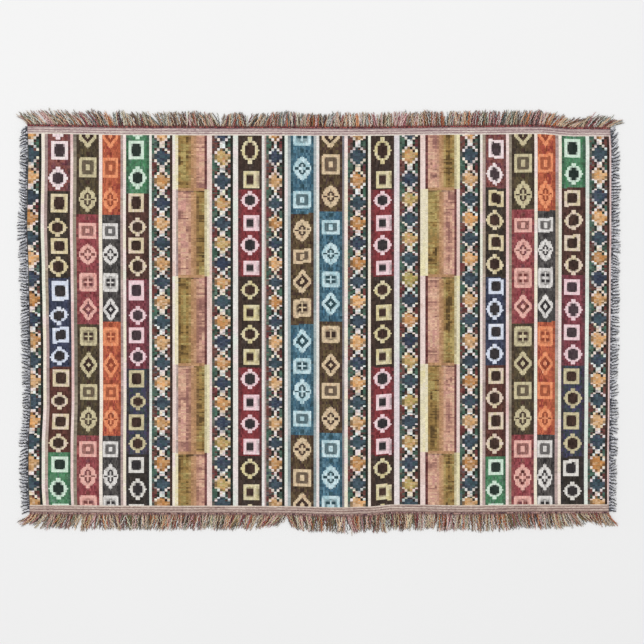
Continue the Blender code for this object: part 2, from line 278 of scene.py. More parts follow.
@dataclass(frozen=True)
class Draft:
    """A weaver's draft of a figured stripe.

    yarns is "ground figure centre" for each block, swaps the chart row where each next block starts,
    and motifs "figure first last" in chart rows from the far heading, without the last row itself. A spotted
    draft has a small dark spot in each gap between two figures.
    """

    yarns: tuple[str, ...]
    swaps: tuple[int, ...]
    motifs: str
    spotted: bool = False

    def places(self) -> list[tuple[Motif, int, int]]:
        """Each figure with its first row and the row after its last, and the small spots between them."""
        placed = []
        for entry in self.motifs.split(","):
            name, first, last = entry.split()
            if self.spotted and placed and int(first) - placed[-1][2] >= SPOT_GAP:
                middle = (int(first) + placed[-1][2]) // 2
                placed.append((Motif.SPOT, middle - 1, middle + 2))
            placed.append((Motif[name], int(first), int(last)))
        return placed

    def block(self, row: int) -> tuple[str, ...]:
        """The ground, figure and centre yarns at a row."""
        return tuple(self.yarns[sum(row >= swap for swap in self.swaps)].split())


MAROON_YARNS = (
    "maroon blush smoke", "charcoal straw bark", "navy ice ink", "brown sand bark", "green mint pine",
)
GREEN_YARNS = (
    "green mint pine", "umber sand bark", "crimson rose smoke", "slate khaki bark", "black bone ink",
)
PEAT_YARNS = ("peat lemon bark", "red rose ink") * 2 + ("peat lemon bark",)
OLIVE_YARNS = ("olive khaki bark", "brick salmon maroon") * 2
RUST_YARNS = ("rust apricot ember", "pewter fog ink") * 2
AZURE_YARNS = ("azure sky lagoon", "walnut camel bark") * 2
WALNUT_YARNS = AZURE_YARNS[::-1]

LEFT_SQUARES = (
    "DIAMOND -12 3, BOX 4 17, DIAMOND 22 38, BOX 41 54, DIAMOND 58 71, BOX 72 83, DIAMOND 85 99, BOX 102 116,"
    " DIAMOND 120 133, BOX 135 146, DIAMOND 149 162, BOX 165 177, DIAMOND 181 193, BOX 196 207,"
    " DIAMOND 210 223, BOX 226 237, DIAMOND 241 256, BOX 259 272"
)
RIGHT_SQUARES = (
    "BOX 3 16, DIAMOND 20 35, BOX 39 50, DIAMOND 53 67, BOX 70 81, DIAMOND 84 98, BOX 101 112,"
    " DIAMOND 115 130, BOX 133 144, DIAMOND 147 161, BOX 164 175, DIAMOND 178 192, BOX 195 207,"
    " DIAMOND 210 224, BOX 228 239, DIAMOND 243 256, BOX 259 272"
)
LEFT_FLOWERS = (
    "RHOMB -8 10, SMALL_BOX 16 30, FLOWER 36 55, SMALL_BOX 62 73, FLOWER 76 92, CROSS 97 110, RHOMB 114 131,"
    " CROSS 135 148, RHOMB 152 171, SMALL_BOX 175 186, FLOWER 190 209, SMALL_BOX 215 226, FLOWER 230 249,"
    " CROSS 253 266"
)
RIGHT_FLOWERS = (
    "RHOMB -10 8, SMALL_BOX 13 26, FLOWER 31 52, SMALL_BOX 58 68, FLOWER 72 89, CROSS 93 107, RHOMB 111 129,"
    " CROSS 134 148, RHOMB 151 169, SMALL_BOX 173 185, FLOWER 189 208, SMALL_BOX 214 226, FLOWER 230 250,"
    " CROSS 253 266"
)
LEFT_MAROON = Draft(MAROON_YARNS, (39, 100, 163, 223), LEFT_SQUARES)
LEFT_GREEN = Draft(GREEN_YARNS, (41, 101, 164, 224), LEFT_SQUARES)
LEFT_OLIVE = Draft(OLIVE_YARNS, (56, 133, 211), LEFT_FLOWERS, True)
LEFT_RUST = Draft(RUST_YARNS, (56, 131, 211), LEFT_FLOWERS, True)
RIGHT_MAROON = Draft(MAROON_YARNS, (37, 100, 162, 226), RIGHT_SQUARES)
RIGHT_GREEN = Draft(GREEN_YARNS, (37, 98, 162, 226), RIGHT_SQUARES)
RIGHT_OLIVE = Draft(OLIVE_YARNS, (52, 132, 210), RIGHT_FLOWERS, True)
RIGHT_RUST = Draft(RUST_YARNS, (53, 131, 210), RIGHT_FLOWERS, True)
PEAT_DRAFT = Draft(
    PEAT_YARNS, (38, 99, 163, 225),
    "DIAMOND 1 20, FRAMED_BOX 25 37, DIAMOND 39 52, FRAMED_BOX 56 67, DIAMOND 70 84, FRAMED_BOX 88 98,"
    " DIAMOND 102 115, FRAMED_BOX 119 130, DIAMOND 133 146, FRAMED_BOX 150 161, DIAMOND 164 178,"
    " FRAMED_BOX 182 193, DIAMOND 196 209, FRAMED_BOX 213 224, DIAMOND 227 241, FRAMED_BOX 245 256,"
    " DIAMOND 259 273",
)
AZURE_DRAFT = Draft(
    AZURE_YARNS, (55, 133, 211),
    "CROSS -8 7, FLOWER 14 32, SMALL_BOX 39 51, FLOWER 58 75, SMALL_BOX 80 90, RHOMB 94 112, CROSS 115 128,"
    " RHOMB 136 154, CROSS 157 168, FLOWER 171 190, SMALL_BOX 194 205, FLOWER 212 230, SMALL_BOX 235 247,"
    " RHOMB 251 269",
    True,
)
WALNUT_DRAFT = Draft(
    WALNUT_YARNS, (54, 131, 209),
    "RHOMB -8 10, SMALL_BOX 14 28, FLOWER 35 52, SMALL_BOX 60 70, FLOWER 75 92, CROSS 96 107, RHOMB 110 127,"
    " CROSS 134 146, RHOMB 153 170, SMALL_BOX 174 185, FLOWER 190 208, SMALL_BOX 214 226, FLOWER 231 249,"
    " CROSS 253 266",
    True,
)


def linear(colour: str) -> np.ndarray:
    """The linear light of a colour, by the curve of the sRGB standard.

    Args:
        colour: an sRGB hex value, as "#C8B0AC".

    Returns:
        Its red, green and blue from 0 to 1.
    """
    parts = np.array([int(colour[n:n + 2], 16) / 255 for n in (1, 3, 5)])
    return np.where(parts <= 0.04045, parts / 12.92, ((parts + 0.055) / 1.055) ** 2.4)


def linear_rows(colours: str) -> np.ndarray:
    """The linear light of several hex values with spaces between them, one row each."""
    return np.array([linear(colour) for colour in colours.split()])


def eased(table: tuple[tuple[float, float], ...], share: np.ndarray) -> np.ndarray:
    """The value of a table at each share, with a soft turn at each row.

    Args:
        table: rows of (share, value).
        share: where it is read.

    Returns:
        The values there.
    """
    shares, values = np.array(table).T
    row = np.clip(np.searchsorted(shares, share, side="left") - 1, 0, len(shares) - 2)
    part = (share - shares[row]) / (shares[row + 1] - shares[row])
    return values[row] + (values[row + 1] - values[row]) * part * part * (3 - 2 * part)


def hump(offset: np.ndarray) -> np.ndarray:
    """A soft hump of height 1 at 0 that is flat beyond 1 either way."""
    return np.cos(math.pi / 2 * np.minimum(1.0, np.abs(offset))) ** 2


def soft_noise(rng: np.random.Generator, rows: int, columns: int, tall: float, wide: float) -> np.ndarray:
    """Random values that drift softly over a chart.

    Args:
        rng: the source of random numbers.
        rows: rows of the chart.
        columns: columns of the chart.
        tall: rows between two turns of the drift.
        wide: columns between two turns of the drift.

    Returns:
        Values from 0 to 1, one for each cell.
    """
    coarse = rng.random((int(rows / tall) + 3, int(columns / wide) + 3))
    y, x = np.arange(rows) / tall, np.arange(columns) / wide
    row, column = y.astype(int), x.astype(int)
    down, over = (y - row)[:, None], (x - column)[None, :]
    above = coarse[row][:, column] * (1 - over) + coarse[row][:, column + 1] * over
    below = coarse[row + 1][:, column] * (1 - over) + coarse[row + 1][:, column + 1] * over
    return above * (1 - down) + below * down


def in_pairs(values: np.ndarray, rows: int) -> np.ndarray:
    """Gives each two rows of a chart the same values."""
    return np.repeat(values, 2, axis=0)[:rows]


def mixed(first: np.ndarray, second: np.ndarray, weights: tuple[float, float]) -> np.ndarray:
    """Adds two sets of values, each times its weight."""
    return first * weights[0] + second * weights[1]


def numbered_grid(columns: int, rows: int) -> bmesh.types.BMesh:
    """A flat grid with its corners at whole numbers.

    Args:
        columns: cells along X.
        rows: cells along Y.

    Returns:
        The grid.
    """
    made = bmesh.new()
    bmesh.ops.create_grid(made, x_segments=columns, y_segments=rows, size=0.5)
    bmesh.ops.scale(made, vec=(columns, rows, 1), verts=made.verts)
    bmesh.ops.translate(made, vec=(columns / 2, rows / 2, 0), verts=made.verts)
    return made


def numbered_slab(columns: int, rows: int) -> bmesh.types.BMesh:
    """A grid with an upper side one whole number above it, and walls between them.

    Args:
        columns: cells along X.
        rows: cells along Y.

    Returns:
        The slab, with its normals outwards.
    """
    made = numbered_grid(columns, rows)
    raised = bmesh.ops.extrude_face_region(made, geom=made.faces[:])
    upper = [part for part in raised["geom"] if isinstance(part, bmesh.types.BMVert)]
    bmesh.ops.translate(made, vec=(0, 0, 1), verts=upper)
    bmesh.ops.recalc_face_normals(made, faces=made.faces)
    return made


def as_mesh(name: str, made: bmesh.types.BMesh) -> bpy.types.Mesh:
    """Turns a bmesh into a smooth-shaded mesh and frees it."""
    mesh = bpy.data.meshes.new(name)
    made.to_mesh(mesh)
    made.free()
    mesh.shade_smooth()
    return mesh


def corner_numbers(mesh: bpy.types.Mesh) -> np.ndarray:
    """The whole numbers of each corner of a numbered mesh, one row a vertex."""
    flat = np.empty(len(mesh.vertices) * 3, dtype=np.float32)
    mesh.vertices.foreach_get("co", flat)
    return np.rint(flat.reshape(-1, 3)).astype(int)


def loop_facts(mesh: bpy.types.Mesh) -> tuple[np.ndarray, np.ndarray, np.ndarray]:
    """How the faces' corners are listed in a mesh.

    Args:
        mesh: the mesh.

    Returns:
        The vertex of each face corner, the face of each face corner, and the first corner of each face.
    """
    vertex = np.empty(len(mesh.loops), dtype=np.int32)
    mesh.loops.foreach_get("vertex_index", vertex)
    start = np.empty(len(mesh.polygons), dtype=np.int32)
    mesh.polygons.foreach_get("loop_start", start)
    total = np.empty(len(mesh.polygons), dtype=np.int32)
    mesh.polygons.foreach_get("loop_total", total)
    return vertex, np.repeat(np.arange(len(start)), total), start


def set_places(mesh: bpy.types.Mesh, places: np.ndarray) -> None:
    """Moves each vertex to its place."""
    mesh.vertices.foreach_set("co", places.astype(np.float32).ravel())
    mesh.update()


def set_corner_colours(mesh: bpy.types.Mesh, colours: np.ndarray) -> None:
    """Writes the yarn's colour at each face corner, from linear red, green and blue."""
    layer = mesh.attributes.new(YARN_COLOUR, "FLOAT_COLOR", "CORNER")
    full = np.ones((len(colours), 4), dtype=np.float32)
    full[:, :3] = colours
    layer.data.foreach_set("color", full.ravel())


def set_map(mesh: bpy.types.Mesh, name: str, places: np.ndarray) -> None:
    """Writes a UV map from one place for each face corner."""
    layer = mesh.uv_layers.new(name=name)
    layer.data.foreach_set("uv", places.astype(np.float32).ravel())


def as_object(name: str, mesh: bpy.types.Mesh, material: bpy.types.Material) -> bpy.types.Object:
    """An object of this mesh, at the origin, with one material."""
    mesh.materials.append(material)
    thing = bpy.data.objects.new(name, mesh)
    bpy.context.scene.collection.objects.link(thing)
    return thing


def add_node(
    tree: bpy.types.NodeTree,
    kind: str,
    settings: Optional[dict] = None,
    values: Optional[dict] = None,
    links: Optional[dict] = None,
) -> bpy.types.Node:
    """Adds a node.

    Args:
        tree: where it goes.
        kind: the node's type.
        settings: its properties.
        values: numbers and colours for its sockets.
        links: output sockets for its sockets.

    Returns:
        The node.
    """
    node = tree.nodes.new(kind)
    for name, value in (settings or {}).items():
        setattr(node, name, value)
    for name, value in (values or {}).items():
        node.inputs[name].default_value = value
    for name, source in (links or {}).items():
        tree.links.new(source, node.inputs[name])
    return node


def new_material(name: str) -> tuple[bpy.types.Material, bpy.types.NodeTree, bpy.types.Node]:
    """A new material with its Principled shader.

    Args:
        name: the material's name.

    Returns:
        The material, its nodes and its shader.
    """
    material = bpy.data.materials.new(name)
    material.use_nodes = True
    tree = material.node_tree
    return material, tree, tree.nodes["Principled BSDF"]


def wave_scale(period: float) -> float:
    """The Wave texture's scale for bands of this period, in the texture's own units."""
    return math.pi / (10 * period)


# Most of a Noise texture's values lie between these two.
NOISE_RANGE = (0.3, 0.7)

# Spun yarn is matt, and its hairs give it a little sheen.
YARN_ROUGHNESS = 0.95
YARN_GLOSS = 0.15
YARN_SHEEN = 0.05


def flecked(
    tree: bpy.types.NodeTree, fleck: bpy.types.Node, lights: tuple[float, float], saturation: float = 1.0
) -> bpy.types.NodeSocket:
    """The colour of dyed yarn that is lighter and darker in flecks.

    Args:
        tree: the material's nodes.
        fleck: the noise that places the flecks.
        lights: the light of the darkest and the palest fleck, where 1 is the dye's own.
        saturation: how much of the dye's strength shows.

    Returns:
        The colour's socket.
    """
    dyed = add_node(tree, "ShaderNodeAttribute", {"attribute_name": YARN_COLOUR})
    light = add_node(
        tree, "ShaderNodeMapRange",
        values=dict(zip(("From Min", "From Max", "To Min", "To Max"), (*NOISE_RANGE, *lights))),
        links={"Value": fleck.outputs["Fac"]},
    )
    colour = add_node(
        tree, "ShaderNodeHueSaturation", values={"Saturation": saturation},
        links={"Value": light.outputs["Result"], "Color": dyed.outputs["Color"]},
    )
    return colour.outputs["Color"]


def finish_yarn(
    tree: bpy.types.NodeTree, shader: bpy.types.Node, colour: bpy.types.NodeSocket,
    threads: bpy.types.NodeSocket, relief: tuple[float, float],
) -> None:
    """Gives a shader the look of spun yarn.

    Args:
        tree: the material's nodes.
        shader: its shader.
        colour: the colour's socket.
        threads: the socket with the height of the threads.
        relief: how strongly that height shows, and how deep it is.
    """
    strength, depth = relief
    bump = add_node(
        tree, "ShaderNodeBump", values={"Strength": strength, "Distance": depth}, links={"Height": threads},
    )
    tree.links.new(colour, shader.inputs["Base Color"])
    tree.links.new(bump.outputs["Normal"], shader.inputs["Normal"])
    shader.inputs["Roughness"].default_value = YARN_ROUGHNESS
    shader.inputs["Specular IOR Level"].default_value = YARN_GLOSS
    shader.inputs["Sheen Weight"].default_value = YARN_SHEEN


@dataclass(frozen=True)
class FiguredWeave:
    """Mixed acrylic and cotton yarn in a figured weave: matt, a little hairy, with the threads' fine ribs."""

    pick: float = 0.0016
    end: float = 0.0024
    wander: float = 0.6
    fleck_across: float = 0.0040
    fleck_along: float = 0.0020
    fleck_roughness: float = 0.6
    fleck_depth: float = 0.20
    haze: float = 0.93
    dimming: float = 0.05
    relief: tuple[float, float] = (0.6, 0.0004)

    def material(self) -> bpy.types.Material:
        """Builds the cloth's material.

        The picks of such a throw are about 1.2 mm apart. They are drawn a third coarser and the ends twice as
        coarse, so that they show.
        """
        material, tree, shader = new_material("figured weave of mixed yarns")
        place = add_node(tree, "ShaderNodeTexCoord").outputs["Object"]
        stretched = add_node(
            tree, "ShaderNodeMapping", values={"Scale": (1 / self.fleck_across, 1 / self.fleck_along, 1)},
            links={"Vector": place},
        )
        fleck = add_node(
            tree, "ShaderNodeTexNoise",
            values={"Scale": 1.0, "Detail": 2.0, "Roughness": self.fleck_roughness},
            links={"Vector": stretched.outputs["Vector"]},
        )
        middle = 1 - self.dimming
        colour = flecked(tree, fleck, (middle - self.fleck_depth, middle + self.fleck_depth), self.haze)
        weft, warp = (
            add_node(
                tree, "ShaderNodeTexWave", {"bands_direction": direction},
                {"Scale": wave_scale(period), "Distortion": self.wander, "Detail": 1.0}, {"Vector": place},
            )
            for direction, period in (("Y", self.pick), ("X", self.end))
        )
        threads = add_node(
            tree, "ShaderNodeMath", {"operation": "MULTIPLY"},
            links={0: weft.outputs["Fac"], 1: warp.outputs["Fac"]},
        )
        finish_yarn(tree, shader, colour, threads.outputs["Value"], self.relief)
        return material


@dataclass(frozen=True)
class LooseYarn:
    """Loose two-ply cotton yarn: matt, with the ply's slanting twist along each strand."""

    name: str
    fleck: float = 0.0030
    fleck_depth: float = 0.18
    twist_scale: float = 0.62
    wander: float = 0.3
    relief: tuple[float, float] = (0.5, 0.0003)

    def material(self) -> bpy.types.Material:
        """Builds the fringe's material."""
        material, tree, shader = new_material(self.name)
        place = add_node(tree, "ShaderNodeTexCoord").outputs["Object"]
        turn = add_node(tree, "ShaderNodeUVMap", {"uv_map": PLY_MAP}).outputs["UV"]
        fleck = add_node(
            tree, "ShaderNodeTexNoise", values={"Scale": 1 / self.fleck, "Detail": 2.0},
            links={"Vector": place},
        )
        colour = flecked(tree, fleck, (1 - self.fleck_depth, 1 + self.fleck_depth))
        ply = add_node(
            tree, "ShaderNodeTexWave", {"bands_direction": "DIAGONAL"},
            {"Scale": self.twist_scale, "Distortion": self.wander}, {"Vector": turn},
        )
        finish_yarn(tree, shader, colour, ply.outputs["Fac"], self.relief)
        return material


@dataclass
class ChartArea:
    """The cells of one stripe: a yarn below, a yarn over it, the share of that one, and a chosen shade."""

    under: np.ndarray
    over: np.ndarray
    share: np.ndarray
    shade: np.ndarray

    @classmethod
    def plain(cls, rows: int, columns: int) -> ChartArea:
        """An area of bare cells, whose shades are left to drift."""
        numbers = np.zeros((rows, columns), dtype=int)
        return cls(numbers, numbers.copy(), np.zeros((rows, columns)), np.full((rows, columns), np.nan))

    def lay(self, rows: slice, columns: slice, yarn: str) -> None:
        """Fills some cells with one yarn."""
        self.under[rows, columns] = YARN_NUMBER[yarn]
        self.share[rows, columns] = 0

    def cover(self, row: int, column: int, yarn: str, share: float) -> None:
        """Lays a share of one yarn over a cell."""
        self.over[row, column] = YARN_NUMBER[yarn]
        self.share[row, column] = share


@dataclass(frozen=True)
class LineStripe:
    """Plain lines beside each other, as (width in mm, yarn).

    A second yarn takes over from swap to swap, in all the columns or in the first swapped_columns of them.
    """

    lines: tuple[tuple[float, str], ...]
    swapped: str = ""
    swapped_columns: Optional[int] = None
    drift_size: tuple[float, float] = (24, 3)
    drift_stretch: float = 1.5
    stray: float = 0.06

    def widths(self) -> list[float]:
        """The width of each column in mm."""
        return [width for width, _ in self.lines]

    def chart(self, rng: np.random.Generator) -> ChartArea:
        """The cells of the lines."""
        area = ChartArea.plain(CHART_ROWS, len(self.lines))
        for column, (_, yarn) in enumerate(self.lines):
            area.lay(slice(None), slice(column, column + 1), yarn)
        if self.swapped:
            for first, last in zip(CHECK_SWAPS[::2], CHECK_SWAPS[1::2]):
                area.lay(slice(first, last), slice(0, self.swapped_columns), self.swapped)
        drift = soft_noise(rng, CHART_ROWS, len(self.lines), *self.drift_size)
        drift = drift * self.drift_stretch - (self.drift_stretch - 1) / 2
        area.shade[:] = np.clip(drift + rng.normal(0, self.stray, drift.shape), 0, 1)
        return area


# How much of the centre's yarn darkens the columns beside a figured stripe's edges, and how much that strays.
EDGE_SHARES = ((0, 0.5), (1, 0.2), (FIGURE_CELLS, 0.2), (FIGURE_CELLS + 1, 0.5))
EDGE_STRAY = (0.6, 1.4)


@dataclass(frozen=True)
class FigureStripe:
    """A stripe of stepped figures on blocks of ground colour.

    The margins are the widths in mm of the bare ground at the figures' left and right. Mirrored figures are
    turned round from left to right.
    """

    width: float
    draft: Draft
    margins: tuple[float, float] = (5.8, 5.8)
    mirrored: bool = False

    def widths(self) -> list[float]:
        """The width of each column in mm."""
        cell = (self.width - sum(self.margins)) / FIGURE_CELLS
        return [self.margins[0], *[cell] * FIGURE_CELLS, self.margins[1]]

    def chart(self, rng: np.random.Generator) -> ChartArea:
        """The cells of the stripe."""
        area = ChartArea.plain(CHART_ROWS, FIGURE_CELLS + 2)
        for row in range(CHART_ROWS):
            ground, _, centre = self.draft.block(row)
            area.lay(slice(row, row + 1), slice(None), ground)
            for column, share in EDGE_SHARES:
                area.cover(row, column, centre, share * rng.uniform(*EDGE_STRAY))
        for motif, first, last in self.draft.places():
            self.draw(area, motif, first, last)
        return area

    def draw(self, area: ChartArea, motif: Motif, first: int, last: int) -> None:
        """Draws one figure.

        Args:
            area: the stripe's cells.
            motif: the figure.
            first: its first chart row.
            last: the row after its last one.
        """
        lines = [line[::-1] if self.mirrored else line for line in motif.value]
        for row in range(max(0, first), min(CHART_ROWS, last)):
            line = lines[int((row + 0.5 - first) / (last - first) * len(lines))]
            _, figure, centre = self.draft.block(row)
            for column, letter in enumerate(line, start=1):
                if letter == "h":
                    area.cover(row, column, figure, HAZE_SHARE)
                elif motif is Motif.SPOT and letter != ".":
                    area.cover(row, column, centre, 1 - CENTRE_SHARES[letter])
                elif letter != ".":
                    area.lay(slice(row, row + 1), slice(column, column + 1), centre)
                    area.cover(row, column, figure, CENTRE_SHARES[letter])


# How often a second yarn shows in each kind of a lattice's cells, and the least and most that shows of it.
# A diamond's darker cells always show this much of its own yarn.
SPECKLES = {
    "W": (0.6, 0.15, 0.6), "b": (0.35, 0.05, 0.3), "k": (0.4, 0.3, 0.9),
    "g": (0.5, 0.2, 0.8), "m": (0.5, 0.2, 0.8), "x": (0.5, 0.2, 0.8),
}
DARKER_SHARE = 0.45


@dataclass(frozen=True)
class LatticeStripe:
    """A lattice of diamonds in two colours in turn, with light cells between them and changing side yarns."""

    width: float
    first: str = "amber"
    second: str = "denim"
    sides: tuple[str, str] = ("moss", "wine")
    centres: tuple[int, ...] = LATTICE_CENTRES
    repeat: str = WIDE_LATTICE
    skipped: int = 0
    edge: str = "soot"
    stray: float = 0.2

    def widths(self) -> list[float]:
        """The width of each column in mm."""
        columns = len(self.repeat.split()[0]) - self.skipped
        return [self.width / columns] * columns

    def chart(self, rng: np.random.Generator) -> ChartArea:
        """The cells of the lattice."""
        lines = self.repeat.split()
        area = ChartArea.plain(CHART_ROWS, len(self.widths()))
        dyes = rng.random(len(self.centres) + 1)
        for row in range(CHART_ROWS):
            place = int(np.searchsorted(self.centres, row, side="right")) - 1
            low, high = self.centres[place:place + 2]
            step = int((row + 0.5 - low) / (high - low) * len(lines))
            diamond = place + int(step >= len(lines) // 2)
            body = (self.first, self.second)[diamond % 2]
            left, right = self.sides if place % 2 == 0 else self.sides[::-1]
            yarns = {"b": body, "n": "soot", "W": "pearl", "k": "soot", "x": "stone", "g": left, "m": right}
            for column, letter in enumerate(lines[step][self.skipped:]):
                area.lay(slice(row, row + 1), slice(column, column + 1), yarns[letter])
                share, yarn = self.speckle(rng, letter, body)
                area.cover(row, column, yarn, share)
                if letter in "bn":
                    area.shade[row, column] = np.clip(dyes[diamond] + rng.normal(0, self.stray), 0, 1)
        area.lay(slice(None), slice(-1, None), self.edge)
        return area

    def speckle(self, rng: np.random.Generator, letter: str, body: str) -> tuple[float, str]:
        """Picks the second yarn of a cell.

        Args:
            rng: the source of random numbers.
            letter: the cell's kind.
            body: the yarn of the diamond beside it.

        Returns:
            The share of the second yarn that shows, and its name.
        """
        chance = rng.random()
        if letter == "n":
            return DARKER_SHARE, body
        often, least, most = SPECKLES[letter]
        if chance >= often:
            return 0.0, body
        share = rng.uniform(least, most)
        if letter == "W":
            return share, body
        if letter == "b":
            return share, "cream" if body in ("amber", "gold") else "soot"
        if letter == "k":
            return share, self.sides[int(chance * 5) % 2]
        return share, ("stone", "soot", "denim", *self.sides)[int(chance * 10)]


# The tan yarn between the halves of a checked stripe, as (columns from their seam, its share), and the least
# and the most dark yarn in the row under each change of sides.
SEAM_SHARES = ((-2, 0.3), (-1, 0.9), (0, 0.8), (1, 0.2))
SWAP_SHARES = (0.1, 0.7)


@dataclass(frozen=True)
class CheckedStripe:
    """Two halves of small uneven checks, ochre and coral, that change sides.

    Each half is (width in mm, columns). The line outside the coral half is the darker one. The checks come
    from a soft drift, from warp and weft that stray in shade, and from blots and short dashes.
    """

    left: tuple[float, int]
    right: tuple[float, int]
    edges: tuple[float, float]
    left_edge: str = "mauve"
    coral_first: bool = False
    drift_size: tuple[float, float] = (8, 2.5)
    warp_stray: float = 0.18
    weft_stray: float = 0.13
    cell_stray: float = 0.05
    blots: int = 170
    blot_rows: tuple[int, int] = (3, 9)
    blot_columns: tuple[int, int] = (1, 4)
    blot_stray: float = 0.25
    dashes: int = 120
    dash_columns: int = 4
    dash_steps: tuple[float, float] = (-0.40, 0.35)

    def widths(self) -> list[float]:
        """The width of each column in mm."""
        halves = [width / columns for width, columns in (self.left, self.right) for _ in range(columns)]
        return [self.edges[0], *halves, self.edges[1]]

    def chart(self, rng: np.random.Generator) -> ChartArea:
        """The cells of the stripe."""
        middle = 1 + self.left[1]
        end = middle + self.right[1]
        area = ChartArea.plain(CHART_ROWS, end + 1)
        for block, (top, bottom) in enumerate(zip((0, *CHECK_SWAPS), (*CHECK_SWAPS, CHART_ROWS))):
            coral_left = self.coral_first == (block % 2 == 0)
            yarns = ("butter", "ochre", "coral", "garnet")
            if coral_left:
                yarns = (self.left_edge, "coral", "ochre", "khaki")
            for yarn, first, last in zip(yarns, (0, 1, middle, end), (1, middle, end, end + 1)):
                area.lay(slice(top, bottom), slice(first, last), yarn)
            for step, share in SEAM_SHARES:
                for row in range(top, bottom):
                    area.cover(row, middle + step, "tan", share)
        for swap in CHECK_SWAPS:
            area.lay(slice(swap - 1, swap + 1), slice(1, end), "tan")
            for column in range(1, end):
                area.cover(swap + 1, column, "bark", rng.uniform(*SWAP_SHARES))
        area.shade[:] = self.checks(rng, end)
        return area

    def checks(self, rng: np.random.Generator, end: int) -> np.ndarray:
        """The shades of the checks.

        Args:
            rng: the source of random numbers.
            end: the column of the right edge's line.

        Returns:
            Shades from 0 to 1, one for each cell.
        """
        warp = rng.normal(0, self.warp_stray, end + 1)
        weft = rng.normal(0, self.weft_stray, (CHART_ROWS, 1))
        shade = soft_noise(rng, CHART_ROWS, end + 1, *self.drift_size) + warp + weft
        for _ in range(self.blots):
            row, column = int(rng.integers(0, CHART_ROWS)), int(rng.integers(1, end))
            tall, wide = int(rng.integers(*self.blot_rows)), int(rng.integers(*self.blot_columns))
            shade[row:row + tall, column:min(end, column + wide)] += rng.normal(0, self.blot_stray)
        for _ in range(self.dashes):
            row, column = int(rng.integers(0, CHART_ROWS)), int(rng.integers(1, end))
            shade[row:row + 1, column:min(end, column + self.dash_columns)] += rng.choice(self.dash_steps)
        return np.clip(shade + rng.normal(0, self.cell_stray, shade.shape), 0, 1)


STRIPES = (
    LineStripe(((1.8, "stone"),)),
    LatticeStripe(29.4, sides=("wine", "moss"), centres=SIDE_CENTRES, skipped=3),
    LineStripe(((7.2, "cream"), (6.6, "mauve"))),
    FigureStripe(51.1, LEFT_MAROON, (0.9, 5.6)),
    LineStripe(((6.1, "petal"), (7.5, "taupe"))),
    FigureStripe(50.6, LEFT_OLIVE),
    LineStripe(((7.5, "cream"),)),
    FigureStripe(41.1, LEFT_RUST, (0.9, 5.6)),
    LineStripe(((5.7, "mauve"), (6.6, "cream"))),
    FigureStripe(52.4, LEFT_GREEN, mirrored=True),
    LineStripe(((5.7, "lichen"),)),
    LatticeStripe(46.8, edge="bark"),
    LineStripe(((5.7, "cream"), (2.7, "butter")), "shell"),
    CheckedStripe((35.0, 6), (24.6, 4), (4.5, 5.7)),
    LineStripe(((5.6, "shell"), (5.6, "shell")), "butter", 1),
    LatticeStripe(47.7, "denim", "gold", ("wine", "moss")),
    LineStripe(((5.6, "chalk"), (5.7, "chalk"))),
    FigureStripe(54.0, PEAT_DRAFT),
    LineStripe(((5.9, "chalk"), (3.8, "mauve"))),
    LatticeStripe(41.8, repeat=NARROW_LATTICE),
    LineStripe(((7.0, "chalk"), (6.6, "mist"))),
    FigureStripe(52.2, AZURE_DRAFT),
    LineStripe(((6.2, "mist"), (6.2, "chalk"))),
    FigureStripe(52.4, WALNUT_DRAFT),
    LineStripe(((4.7, "ash"), (7.5, "cream"))),
    LatticeStripe(46.1, sides=("wine", "moss")),
    LineStripe(((6.1, "cream"),)),
    FigureStripe(52.9, PEAT_DRAFT),
    LineStripe(((6.0, "lilac"), (6.0, "lilac"))),
    LatticeStripe(47.2, "denim", "gold", centres=HIGHER_CENTRES, edge="bark"),
    LineStripe(((5.7, "shell"), (5.6, "shell")), "butter"),
    CheckedStripe((30.5, 6), (29.2, 6), (6.1, 5.2), "garnet", True),
    LineStripe(((3.6, "butter"), (3.6, "butter")), "shell"),
    LatticeStripe(45.9, sides=("wine", "moss"), centres=HIGHER_CENTRES),
    LineStripe(((5.4, "cream"), (6.6, "mauve"))),
    FigureStripe(46.6, RIGHT_MAROON, (0.9, 5.6)),
    LineStripe(((6.6, "petal"), (6.1, "taupe"))),
    FigureStripe(51.3, RIGHT_OLIVE),
    LineStripe(((7.0, "cream"),)),
    FigureStripe(40.5, RIGHT_RUST, (0.9, 5.6)),
    LineStripe(((7.0, "mauve"), (6.8, "cream"))),
    FigureStripe(53.8, RIGHT_GREEN, mirrored=True),
    LineStripe(((8.1, "lichen"),)),
    LatticeStripe(45.4, centres=SIDE_CENTRES, edge="bark"),
    LineStripe(((4.1, "petal"),)),
)


# Where each wall of the cloth's rim starts in the rim's part of the bake map, and how much of that it fills.
NEAR_WALL = 0.0
FAR_WALL = 0.5
END_WALL_SIZE = 0.25
RIGHT_WALL = 0.3
LEFT_WALL = 0.8
SIDE_WALL_SIZE = 0.15

# A cell strays from its yarn's shade by at most this many steps of unevenness, and keeps to these lights.
MOST_STEPS = 2
YARN_LIGHT = (0.004, 0.92)

# The places along each edge where the cloth's outline is measured.
OUTLINE_STEPS = 400


